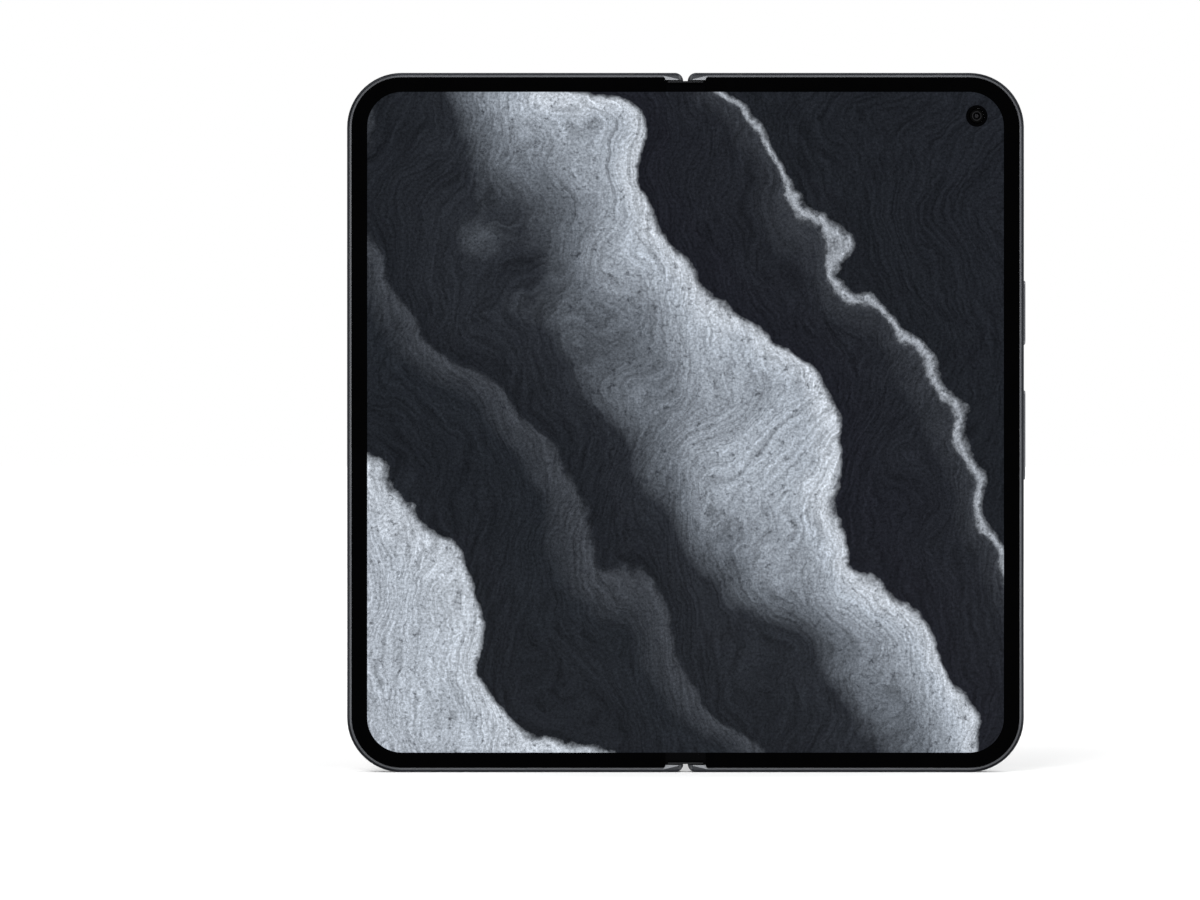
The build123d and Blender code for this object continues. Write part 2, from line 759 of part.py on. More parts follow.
def left_board():
    ear_z = bay_top - EARPIECE_L / 2
    cuts = [
        (cover_camera_x, cover_camera_z, FRONT_CAMERA_BOX, FRONT_CAMERA_BOX),
        (earpiece_x, ear_z, EARPIECE_W, EARPIECE_L),
    ]
    return to_left(slab(board_face(cuts), d_board, d_board_back))


def shield_can(x0, x1, z0, z1, height):
    can = block(x0, x1, d_board_back, d_board_back + height, z0, z1)
    w = SHIELD_WALL
    return can - block(x0 + w, x1 - w, d_board_back, d_board_back + height - w, z0 + w, z1 - w)


def shields(out, height):
    """Two cans on a board, between its screws."""
    low = board_bottom + 2 * (BOSS_R + CELL_GAP)
    high = cover_camera_z - FRONT_CAMERA_BOX / 2 - CUT_GAP
    split = (low + high) / 2
    near = BAY_IN + BAY_GAP + CELL_GAP
    return group([
        shield_can(near, out, low, split - CELL_GAP / 2, height),
        shield_can(near, out, split + CELL_GAP / 2, high, height),
    ])


def cell(near, thickness):
    face = rect(BAY_IN + CELL_GAP, cell_out - CELL_GAP, cell_bottom, cell_top)
    face = fillet(face.vertices(), CELL_R)
    return slab(face, near, near + thickness)


def heat_spreader():
    """Lies on the web, under the right cell and the main board."""
    return block(
        spreader_in, spreader_out, d_bay, d_bay + SPREADER_T,
        board_bottom - SPREADER_DOWN, board_bottom + SPREADER_UP,
    )


def coil_place():
    return (BAY_IN + cell_out) / 2, (cell_bottom + cell_top) / 2


def ferrite_sheet():
    x, z = coil_place()
    near = d_right_cell + RIGHT_CELL_T
    return disc(x, z, COIL_R + FERRITE_T, near, near + FERRITE_T)


def charging_coil():
    x, z = coil_place()
    near = d_right_cell + RIGHT_CELL_T + FERRITE_T
    return disc(x, z, COIL_R, near, near + COIL_T) - disc(x, z, COIL_HOLE_R, near, near + COIL_T)


def magnets():
    below_key = volume_z - VOLUME_L / 2 - FLANGE_OVER - MAGNET_KEY_GAP - MAGNET_L / 2
    return group([
        block(bay_out - MAGNET_W, bay_out, d_bay, d_bay + MAGNET_T, z - MAGNET_L / 2, z + MAGNET_L / 2)
        for z in (MAGNET_RISE, below_key, OPEN_HEIGHT - MAGNET_DROP)
    ])


def usb_board():
    z0 = USB_L + CELL_GAP
    near = BAY_IN + BAY_GAP
    far = speaker_x - SPEAKER_W / 2 - CELL_GAP
    return block(near, far, d_bay, d_bay + BOARD_T, z0, LOWER_BOARD_TOP)


# ---- rear glass and cameras
def rear_glass():
    glass = slab(half_outline(GLASS_INSET + FIT, LIP_BACK + FIT, SEAT_R), d_glass, THICKNESS)
    return fillet(glass.faces().sort_by(Axis.Y)[-1].edges(), GLASS_EDGE_R)


def island_outline(grow):
    size = (ISLAND_W + 2 * grow, ISLAND_L + 2 * grow)
    return Pos(island_x, island_z) * RectangleRounded(*size, ISLAND_R + grow)


def back_glass():
    return rear_glass() - slab(island_outline(FIT), d_glass, THICKNESS)


def camera_island():
    """A raised housing glued under the back glass by its flange."""
    housing = slab(island_outline(0), d_glass, d_island_top)
    housing = fillet(housing.faces().sort_by(Axis.Y)[-1].edges(), ISLAND_EDGE_R)
    island = slab(island_outline(ISLAND_FLANGE), d_glass - FLANGE_PLATE_T, d_glass) + housing
    island -= slab(island_outline(-ISLAND_WALL), 0, d_island_top - ISLAND_ROOF)
    for x, z, _, _ in camera_places.values():
        island -= disc(x, z, RING_R + FIT, 0, d_ring_top)
    x, z = flash_place
    island -= disc(x, z, FLASH_R + FIT, 0, d_ring_top)
    return island


def lens_ring(x, z):
    start = d_island_top - ISLAND_ROOF
    ring = disc(x, z, RING_R, start, d_ring_top)
    ring = chamfer(ring.faces().sort_by(Axis.Y)[-1].edges(), RING_CHAMFER)
    window_floor = d_ring_top - WINDOW_SINK - WINDOW_T
    ring -= disc(x, z, RING_R - RING_WALL, window_floor, d_ring_top)
    return ring - disc(x, z, RING_R - RING_WALL - RING_LEDGE, start, window_floor)


def lens_window(x, z):
    far = d_ring_top - WINDOW_SINK
    return disc(x, z, RING_R - RING_WALL - FIT, far - WINDOW_T, far)


def camera_module(x, z, box, barrel_r):
    body = centred_block(x, z, box, box, d_bay, d_bay + CAMERA_BODY_T)
    barrel_end = d_ring_top - WINDOW_SINK - WINDOW_T - BARREL_GAP
    return body + disc(x, z, barrel_r, d_bay + CAMERA_BODY_T, barrel_end)


def flash_unit():
    x, z = flash_place
    return disc(x, z, FLASH_R, d_board_back, d_island_top)


def inner_camera():
    """Behind the hole in the right display; its barrel points forwards."""
    x, z = inner_camera_x, inner_camera_z
    body = centred_block(x, z, FRONT_CAMERA_BOX, FRONT_CAMERA_BOX, d_web, d_web + INNER_CAMERA_T)
    return body + disc(x, z, FRONT_BARREL_R, d_web - FRONT_BARREL_L, d_web)


def cover_camera():
    """Its barrel points backwards, through the cover panel."""
    x, z = cover_camera_x, cover_camera_z
    far = d_glass - FIT
    body_end = far - FRONT_BARREL_L
    box = FRONT_CAMERA_BOX
    body = centred_block(x, z, box, box, d_bay, body_end)
    return to_left(body + disc(x, z, FRONT_BARREL_R, body_end, far))


def cover_panel():
    margin = COVER_PANEL_MARGIN
    face = rounded(
        LIP_BACK + margin + CAP_EDGE, HALF_W - BAND_W - margin, BAND_W + margin, bay_top - margin,
        COVER_PANEL_R, COVER_PANEL_R,
    )
    panel = slab(face & bay_outline(FIT), d_glass - COVER_PANEL_T, d_glass)
    hole = disc(cover_camera_x, cover_camera_z, FRONT_BARREL_R + CUT_GAP, 0, d_glass)
    return to_left(panel - hole)


# ---- buttons
def side_button(length, z):
    flange_x = bay_out - FLANGE_BACK
    cap = pill(length, BUTTON_W, flange_x, HALF_W + BUTTON_RISE, z, button_depth())
    cap = fillet(cap.faces().sort_by(Axis.X)[-1].edges(), BUTTON_EDGE_R)
    flange_l = length + 2 * FLANGE_OVER
    return cap + pill(flange_l, BUTTON_W, flange_x - FLANGE_T, flange_x, z, button_depth())


def button_switches():
    far_x = bay_out - FLANGE_BACK - FLANGE_T - BUTTON_TRAVEL - SWITCH_GAP
    return group([
        block(far_x - SWITCH_T, far_x, d_bay, d_bay + SWITCH_H, z - length / 2, z + length / 2)
        for z, length in ((power_z, POWER_L), (volume_z, VOLUME_L))
    ])


# ---- bottom and top edge
def usb_shell():
    shell = usb_bar(USB_SHELL_W, USB_SHELL_T, 0, USB_L)
    inner = (USB_SHELL_W - 2 * USB_WALL, USB_SHELL_T - 2 * USB_WALL)
    return shell - usb_bar(*inner, 0, USB_L - USB_WALL)


def usb_tongue():
    back = USB_L - USB_WALL
    tongue = upright(
        Pos(usb_x, USB_DEPTH) * Rectangle(TONGUE_W, TONGUE_T), back - TONGUE_BACK - TONGUE_L, back
    )
    inner = (USB_SHELL_W - 2 * USB_WALL - 2 * FIT, USB_SHELL_T - 2 * USB_WALL - 2 * FIT)
    return tongue + usb_bar(*inner, back - TONGUE_BACK, back)


def loudspeaker():
    x0 = speaker_x - SPEAKER_W / 2
    return block(
        x0, x0 + SPEAKER_W, d_bay, d_bay + SPEAKER_T, BAND_W + FIT, BAND_W + FIT + SPEAKER_L
    ) & slab(bay_outline(FIT), 0, THICKNESS)


def earpiece_speaker():
    x0 = earpiece_x - EARPIECE_W / 2
    top = bay_top - FIT
    body = block(x0, x0 + EARPIECE_W, d_bay, d_bay + EARPIECE_T, top - EARPIECE_L, top)
    return to_left(body & slab(bay_outline(FIT), 0, THICKNESS))


def haptic_motor():
    z0 = BAND_W + CELL_GAP
    body = block(
        haptic_x - HAPTIC_W / 2, haptic_x + HAPTIC_W / 2, d_bay, d_bay + HAPTIC_T, z0, z0 + HAPTIC_L
    )
    return to_left(body)


# ---- card tray
def tray_bar(width, thickness, z0, z1):
    return upright(Pos(TRAY_X, TRAY_DEPTH) * Rectangle(width, thickness), z0, z1)


def tray_face(grow, z1):
    face = SlotOverall(TRAY_FACE_W + 2 * grow, TRAY_FACE_H + 2 * grow)
    return upright(Pos(TRAY_X, TRAY_DEPTH) * face, 0, z1)


def card_block(gap, far):
    """The card, or its open pocket when grown by a gap."""
    z0 = TRAY_L - CARD_L - 2 * CARD_GAP
    half = CARD_W / 2 + gap
    return block(TRAY_X - half, TRAY_X + half, d_card, far, z0 - gap, z0 + CARD_L + gap)


def sim_tray():
    tray = tray_bar(TRAY_W, TRAY_T, 0, TRAY_L)
    tray += tray_face(0, TRAY_FACE_T)
    return to_left(tray - card_block(CARD_GAP, THICKNESS))


def sim_reader():
    """A folded cage round the tray, standing on the web."""
    end = TRAY_L + CARD_GAP + READER_WALL
    half = TRAY_W / 2 + READER_GAP + READER_WALL
    back = TRAY_DEPTH + TRAY_T / 2 + READER_GAP + READER_WALL
    cage = block(TRAY_X - half, TRAY_X + half, d_bay, back, BAND_W + FIT, end)
    inner = tray_bar(
        TRAY_W + 2 * READER_GAP, TRAY_T + 2 * READER_GAP, BAND_W + FIT, end - READER_WALL
    )
    return to_left(cage - inner)


def build_nodes():
    """Every separate piece by name."""
    half_tooth = 180 / GEAR_TEETH
    right_arm, left_arm = hinge_arm(half_tooth), to_left(hinge_arm(0))
    base, cap = hinge_base(), spine_cap()
    left_idler, right_idler = idler(-idler_x, half_tooth), idler(idler_x, 0)
    inserts, strips, screws, half_magnets = antenna_inserts(), bezel(), half_screws(), magnets()
    nodes = {
        "left_frame": left_frame(),
        "left_bezel": to_left(strips),
        "display_left_panel": to_left(rigid_layer(d_display, d_support)),
        "left_support_plate": to_left(rigid_layer(d_support, d_support_back)),
        "left_antenna_inserts": to_left(inserts),
        "cover_glass": to_left(rear_glass()),
        "cover_display_panel": cover_panel(),
        "cover_camera": cover_camera(),
        "left_battery": to_left(cell(d_bay, LEFT_CELL_T)),
        "left_board": left_board(),
        "left_board_shields": to_left(shields(cover_camera_x + CAMERA_BOX, LEFT_SHIELD_H)),
        "earpiece_speaker": earpiece_speaker(),
        "haptic_motor": haptic_motor(),
        "left_magnets": to_left(half_magnets),
        "left_screws": to_left(screws),
        "left_hinge_arms": group([left_arm, to_top(left_arm)]),
        "sim_tray": sim_tray(),
        "sim_card": to_left(card_block(0, d_card + CARD_T)),
        "sim_reader": sim_reader(),
        "right_frame": right_frame(),
        "right_bezel": strips,
        "display_right_panel": right_display(d_display, d_support),
        "right_support_plate": right_display(d_support, d_support_back),
        "right_antenna_inserts": inserts,
        "back_glass": back_glass(),
        "camera_island": camera_island(),
        "lens_rings": group([lens_ring(x, z) for x, z, _, _ in camera_places.values()]),
        "lens_windows": group([lens_window(x, z) for x, z, _, _ in camera_places.values()]),
        "flash_unit": flash_unit(),
        "inner_camera": inner_camera(),
        "main_board": main_board(),
        "main_board_shields": shields(island_x - ISLAND_W / 2 - ISLAND_FLANGE - FIT, MAIN_SHIELD_H),
        "heat_spreader": heat_spreader(),
        "right_battery": cell(d_right_cell, RIGHT_CELL_T),
        "ferrite_sheet": ferrite_sheet(),
        "charging_coil": charging_coil(),
        "usb_board": usb_board(),
        "usb_shell": usb_shell(),
        "usb_tongue": usb_tongue(),
        "loudspeaker": loudspeaker(),
        "power_button": side_button(POWER_L, power_z),
        "volume_rocker": side_button(VOLUME_L, volume_z),
        "button_switches": button_switches(),
        "right_magnets": half_magnets,
        "right_screws": screws,
        "right_hinge_arms": group([right_arm, to_top(right_arm)]),
        "spine_cover": spine_cover(),
        "spine_end_caps": group([cap, to_top(cap)]),
        "hinge_bases": group([base, to_top(base)]),
        "hinge_middle_base": middle_base(),
        "hinge_centre_plate": centre_plate(),
        "friction_clips": friction_clips(),
        "left_idler_gears": group([left_idler, to_top(left_idler)]),
        "right_idler_gears": group([right_idler, to_top(right_idler)]),
        "display_fold_strip": slab(fold_outline(), d_display, d_support),
        "fold_lattice_plate": lattice_plate(),
        "hinge_flexes": group([hinge_flex(z) for z in flex_centres()]),
    }
    for name, place in camera_places.items():
        nodes[f"{name}_camera"] = camera_module(*place)
    return nodes


os.makedirs("parts", exist_ok=True)
for node_name, shape in build_nodes().items():
    export_step(shape, f"parts/{node_name}.step")
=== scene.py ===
"""Looks of an open book-style folding phone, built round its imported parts.

Sizes are in millimetres: x runs across the phone, a depth is the distance behind
the front plane of the bezel, and z is the height above the floor. A Workpiece
turns them into the frame's metres when a piece is finished.
"""

import functools
import logging
import math
from collections.abc import Callable, Iterable, Iterator, Sequence
from contextlib import contextmanager
from dataclasses import dataclass, field
from enum import Enum

import bmesh
import bpy
from mathutils import Matrix, Vector


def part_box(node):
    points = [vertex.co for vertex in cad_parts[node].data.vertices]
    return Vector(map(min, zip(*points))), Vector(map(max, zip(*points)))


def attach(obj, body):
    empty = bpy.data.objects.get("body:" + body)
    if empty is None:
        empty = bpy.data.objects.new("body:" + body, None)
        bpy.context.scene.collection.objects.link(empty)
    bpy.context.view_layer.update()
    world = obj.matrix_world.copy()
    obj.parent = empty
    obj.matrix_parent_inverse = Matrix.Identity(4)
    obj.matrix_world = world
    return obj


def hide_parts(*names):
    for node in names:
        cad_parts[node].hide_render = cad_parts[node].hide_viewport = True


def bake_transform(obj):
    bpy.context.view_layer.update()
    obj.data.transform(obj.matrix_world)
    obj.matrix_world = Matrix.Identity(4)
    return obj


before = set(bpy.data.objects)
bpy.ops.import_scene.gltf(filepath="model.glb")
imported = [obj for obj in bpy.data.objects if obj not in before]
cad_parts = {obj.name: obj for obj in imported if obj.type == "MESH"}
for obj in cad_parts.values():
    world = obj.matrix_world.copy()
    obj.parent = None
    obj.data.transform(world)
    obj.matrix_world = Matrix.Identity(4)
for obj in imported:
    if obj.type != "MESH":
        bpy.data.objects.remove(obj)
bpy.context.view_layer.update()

log = logging.getLogger("phone")

MM = 0.001
FRONT_PLANE = -4.0             # where depth 0 stands, in millimetres along Y
MERGE_MM = 0.0004              # corners of a mesh that are nearer than this are one
WELD_MM = 0.0005               # the same for the recess of a screw
CUT_MM = 1e-5                  # corners nearer than this to a cutting plane lie on it
SHARP_EDGE = math.radians(40)  # edges flatter than this aren't rounded off
LATHE_STEPS = 64               # corners round a turned piece
RING_STEPS = 72                # corners round a fine ring
TURN_STEPS = 96                # corners of one turn of the coil
WIRE_STEPS = 8                 # corners across a round wire
DISC_STEPS = 32                # corners round a disc of gauze
HEAD_STEPS = 40                # corners round a screw's head
SHANK_STEPS = 24               # corners round its shank

PHONE_WIDTH = 150.2
PHONE_HEIGHT = 155.2
CORNER_RADIUS = 12.1
CORNER_FADE = 3.0              # reach over which the painted corner shade sets in
INNER_CAMERA = (64.6, 145.6)   # x and z of its axis

NOISE_RANGE = (0.3, 0.7)       # where nearly all values of a noise lie
LEAST_ROUGHNESS = 0.02
COAT_ROUGHNESS = 0.06
FINE_GRAIN = 0.09              # size of the grains on the anodised metal
BLACK_PRINT = (0.001, 0.001, 0.001, 1)

Loop = list[tuple[float, float]]
Colour = tuple[float, float, float]
Noise = tuple[float, float, float]
Socket = bpy.types.NodeSocket


class Half(Enum):
    """The two halves of the phone; the value is the sign of their x."""

    LEFT = -1
    RIGHT = 1

    @property
    def body(self) -> str:
        """The CAD body that the half's pieces ride on."""
        return f"{self.name.lower()}_half"

    def node(self, ending: str) -> str:
        """The name of a piece that both halves have."""
        return f"{self.name.lower()}_{ending}"


class Grain(Enum):
    """What the surface of a finish is like from close up.

    The value holds its stretch along x, the detail of its noise, and how far the
    roughness goes to either side of the middle.
    """

    BLASTED = (1.0, 3.0, 0.05)
    BRUSHED = (0.04, 3.0, 0.05)
    MOULDED = (1.0, 1.0, 0.05)
    SMOOTH = (1.0, 3.0, 0.02)


class Smoothing(Enum):
    """Kinds of piece, with the angle in degrees beyond which an edge of theirs stays sharp."""

    PANE = 20
    CAD = 28
    PLAIN = 30
    EDGED = 35
    BLOCK = 40
    WIRE = 60


# ---------------------------------------------------------------- materials
def tinted(colour: Colour, factor: float = 1.0) -> tuple[float, float, float, float]:
    """The colour times a factor, as a shader colour."""
    return (*[min(1.0, c * factor) for c in colour], 1.0)


class NodeGraph:
    """A tree of nodes under construction."""

    def __init__(self, tree: bpy.types.NodeTree) -> None:
        """Start with an empty tree."""
        self.tree = tree
        self.tree.nodes.clear()

    def put(self, socket: Socket, value: object) -> None:
        """Link a socket to an input, or write a constant on it; None leaves it.

        Args:
            socket: the socket.
            value: the other socket or the constant.
        """
        if isinstance(value, Socket):
            self.tree.links.new(value, socket)
        elif value is not None:
            socket.default_value = value

    def fill(self, made: bpy.types.Node, values: Iterable[object]) -> bpy.types.Node:
        """Fill a node's inputs in order and give it back.

        Args:
            made: the node.
            values: values or links for its inputs; None leaves one.

        Returns:
            The node.
        """
        for socket, value in zip(made.inputs, values):
            self.put(socket, value)
        return made

    def math(self, operation: str, *inputs: object) -> Socket:
        """A Math node's result.

        Args:
            operation: what it does.
            inputs: its numbers or links.

        Returns:
            Its output.
        """
        made = self.tree.nodes.new("ShaderNodeMath")
        made.operation = operation
        return self.fill(made, inputs).outputs[0]


class ShaderGraph(NodeGraph):
    """The shader nodes of a material or of the world."""

    def node(self, kind: str, *inputs: object, **settings: object) -> bpy.types.Node:
        """Add a node.

        Args:
            kind: the node type without the "ShaderNode" in front.
            inputs: values or links for its inputs, in order; None leaves one.
            settings: attributes of the node.

        Returns:
            The new node.
        """
        made = self.tree.nodes.new(f"ShaderNode{kind}")
        for name, value in settings.items():
            setattr(made, name, value)
        return self.fill(made, inputs)

    def vector(self, operation: str, *inputs: object, result: str = "Vector") -> Socket:
        """A Vector Math node's result."""
        return self.node("VectorMath", *inputs, operation=operation).outputs[result]

    def remap(self, value: Socket, low: float, high: float, first: float, last: float) -> Socket:
        """Stretch a value from low..high to first..last, and hold it beyond both ends."""
        return self.node("MapRange", value, low, high, first, last).outputs[0]

    def for_camera(self, light: Socket, seen: Socket) -> Socket:
        """One shader as a source of light, and another that the camera sees."""
        camera_ray = self.node("LightPath").outputs["Is Camera Ray"]
        return self.node("MixShader", camera_ray, light, seen).outputs[0]


class SurfaceGraph(ShaderGraph):
    """A piece's material under construction, round one Principled shader."""

    def __init__(self, name: str) -> None:
        """Start an empty material with its shader.

        Args:
            name: the material's name.
        """
        self.material = bpy.data.materials.new(name)
        self.material.use_nodes = True
        super().__init__(self.material.node_tree)
        self.shader = self.node("BsdfPrincipled")
        self.node("OutputMaterial", self.shader.outputs[0])

    def set(self, **values: object) -> None:
        """Set inputs of the Principled shader; underscores stand for spaces."""
        for name, value in values.items():
            self.put(self.shader.inputs[name.replace("_", " ")], value)

    def place_mm(self, stretch: float = 1.0) -> Socket:
        """Object coordinates in millimetres, with x times stretch."""
        source = self.node("TexCoord").outputs["Object"]
        return self.node("Mapping", source, None, None, (stretch / MM, 1 / MM, 1 / MM)).outputs[0]

    def noise(
        self, place: Socket, size: float, detail: float, rough: float = 0.5, result: str = "Fac"
    ) -> Socket:
        """Noise whose cells measure about size millimetres.

        Args:
            place: coordinates in millimetres.
            size: size of the cells.
            detail, rough: how many finer layers it has, and how strong they are.
            result: the output: "Fac" or "Color".

        Returns:
            That output.
        """
        made = self.node("TexNoise", place)
        for name, value in (("Scale", 1 / size), ("Detail", detail), ("Roughness", rough)):
            made.inputs[name].default_value = value
        return made.outputs[result]

    def spread(self, value: Socket, low: float, high: float) -> Socket:
        """Stretch a noise value from its usual range to low..high."""
        return self.remap(value, *NOISE_RANGE, low, high)

    def mix(self, share: object, first: object, second: object) -> Socket:
        """Mix two colours.

        Args:
            share: share of the second colour.
            first, second: the colours.

        Returns:
            The mixed colour.
        """
        made = self.node("Mix", data_type="RGBA")
        for index, value in ((0, share), (6, first), (7, second)):
            self.put(made.inputs[index], value)
        return made.outputs[2]

    def ramp(self, value: Socket, stops: Sequence[tuple[float, Colour]]) -> Socket:
        """A colour ramp with the stops given as (place, colour).

        Args:
            value: the place on the ramp.
            stops: places with their colours.

        Returns:
            The colour.
        """
        made = self.node("ValToRGB", value)
        elements = made.color_ramp.elements
        for index, (place, colour) in enumerate(stops):
            element = elements[index] if index < 2 else elements.new(place)
            element.position = place
            element.color = tinted(colour)
        return made.outputs[0]

    def mottled(self, place: Socket, size: float, colour: Colour, share: float) -> Socket:
        """A colour that varies in soft patches.

        Args:
            place: where, in millimetres.
            size: size of the patches, in millimetres.
            colour: the middle colour.
            share: how far it goes to either side.

        Returns:
            The colour.
        """
        patches = self.spread(self.noise(place, size, 3), 0.0, 1.0)
        return self.mix(patches, tinted(colour, 1 - share), tinted(colour, 1 + share))

    def grained(self, grain: Grain, size: float, depth: float, roughness: float) -> None:
        """Let fine grains vary the roughness and dent the surface.

        Args:
            grain: what the surface is like from close up.
            size, depth: size and depth of the grains, in millimetres; depth 0 for polished glass.
            roughness: middle value of the roughness.
        """
        stretch, detail, span = grain.value
        grains = self.noise(self.place_mm(stretch), size, detail)
        least = max(LEAST_ROUGHNESS, roughness - span)
        self.set(Roughness=self.spread(grains, least, roughness + span))
        if depth:
            dents = self.node("Bump")
            for name, value in (("Strength", 1.0), ("Distance", depth * MM), ("Height", grains)):
                self.put(dents.inputs[name], value)
            self.set(Normal=dents.outputs[0])

    def on_phone(self, place: Socket) -> tuple[Socket, Socket, Socket]:
        """Where a place lies on the phone, in millimetres.

        Args:
            place: the place.

        Returns:
            Its distance from the middle plane, its Y, and its distance from the nearer end.
        """
        parts = self.node("SeparateXYZ", place).outputs
        middle = PHONE_HEIGHT / 2
        off_middle = self.math("ABSOLUTE", self.math("SUBTRACT", parts[2], middle))
        return self.math("ABSOLUTE", parts[0]), parts[1], self.math("SUBTRACT", middle, off_middle)

    def corner_share(self, across: Socket, end: Socket) -> Socket:
        """How far a place lies inside one of the phone's rounded corners, 0 to 1.

        Args:
            across: distance from the phone's middle plane, in millimetres.
            end: distance from the phone's nearer end.

        Returns:
            The share.
        """
        past_side = self.math("SUBTRACT", across, PHONE_WIDTH / 2 - CORNER_RADIUS)
        past_end = self.math("SUBTRACT", CORNER_RADIUS, end)
        return self.remap(self.math("MINIMUM", past_side, past_end), 0.0, CORNER_FADE, 0.0, 1.0)


@dataclass(frozen=True)
class Finish:
    """An opaque finish: metal, plastic, foil or coated board.

    Attributes:
        name: the material's name.
        colour: base colour, linear.
        roughness: middle value of the roughness.
        metallic: 1 for bare or anodised metal.
        specular: strength of the plain gloss.
        coat: clear coat on top.
        grain: what the surface is like from close up.
        grain_size: size of that grain, in millimetres.
        grain_depth: its depth, in millimetres; 0 for polished glass.
        mottle: share by which the colour varies.
        mottle_size: size of that variation, in millimetres.
    """

    name: str
    colour: Colour
    roughness: float
    metallic: float = 0.0
    specular: float = 0.5
    coat: float = 0.0
    grain: Grain = Grain.BLASTED
    grain_size: float = 0.12
    grain_depth: float = 0.0015
    mottle: float = 0.05
    mottle_size: float = 5.0

    def material(self) -> bpy.types.Material:
        """Build the procedural material.

        Returns:
            The material.
        """
        graph = SurfaceGraph(self.name)
        graph.set(
            Metallic=self.metallic, Specular_IOR_Level=self.specular, Coat_Weight=self.coat,
            Coat_Roughness=COAT_ROUGHNESS,
            Base_Color=graph.mottled(graph.place_mm(), self.mottle_size, self.colour, self.mottle),
        )
        graph.grained(self.grain, self.grain_size, self.grain_depth, self.roughness)
        return graph.material


@dataclass(frozen=True)
class ClearFinish:
    """Glass or clear plastic that lets light through, with faint smears.

    Attributes:
        name: the material's name.
        colour: its tint, linear.
        roughness: middle value of the roughness.
        coat: clear coat on top.
        bending: its refraction; a low one stands for a coating that takes the gloss away.
        smear_size: size of the smears, in millimetres.
        smear_gloss: factors on the roughness between and on the smears.
        smear_tint: factor on the tint between the smears.
        coat_roughness: roughness of the coat.
    """

    name: str
    colour: Colour
    roughness: float = 0.02
    coat: float = 0.4
    bending: float = 1.5
    smear_size: float = 4.0
    smear_gloss: tuple[float, float] = (0.5, 1.8)
    smear_tint: float = 0.96
    coat_roughness: float = 0.02

    def material(self) -> bpy.types.Material:
        """Build the material.

        Returns:
            The material.
        """
        graph = SurfaceGraph(self.name)
        smears = graph.noise(graph.place_mm(), self.smear_size, 4)
        clean, smeared = (self.roughness * factor for factor in self.smear_gloss)
        tint = graph.mix(
            graph.spread(smears, 0, 1), tinted(self.colour, self.smear_tint), tinted(self.colour)
        )
        graph.set(
            Transmission_Weight=1.0, IOR=self.bending, Coat_Weight=self.coat,
            Coat_Roughness=self.coat_roughness, Roughness=graph.spread(smears, clean, smeared),
            Base_Color=tint,
        )
        return graph.material


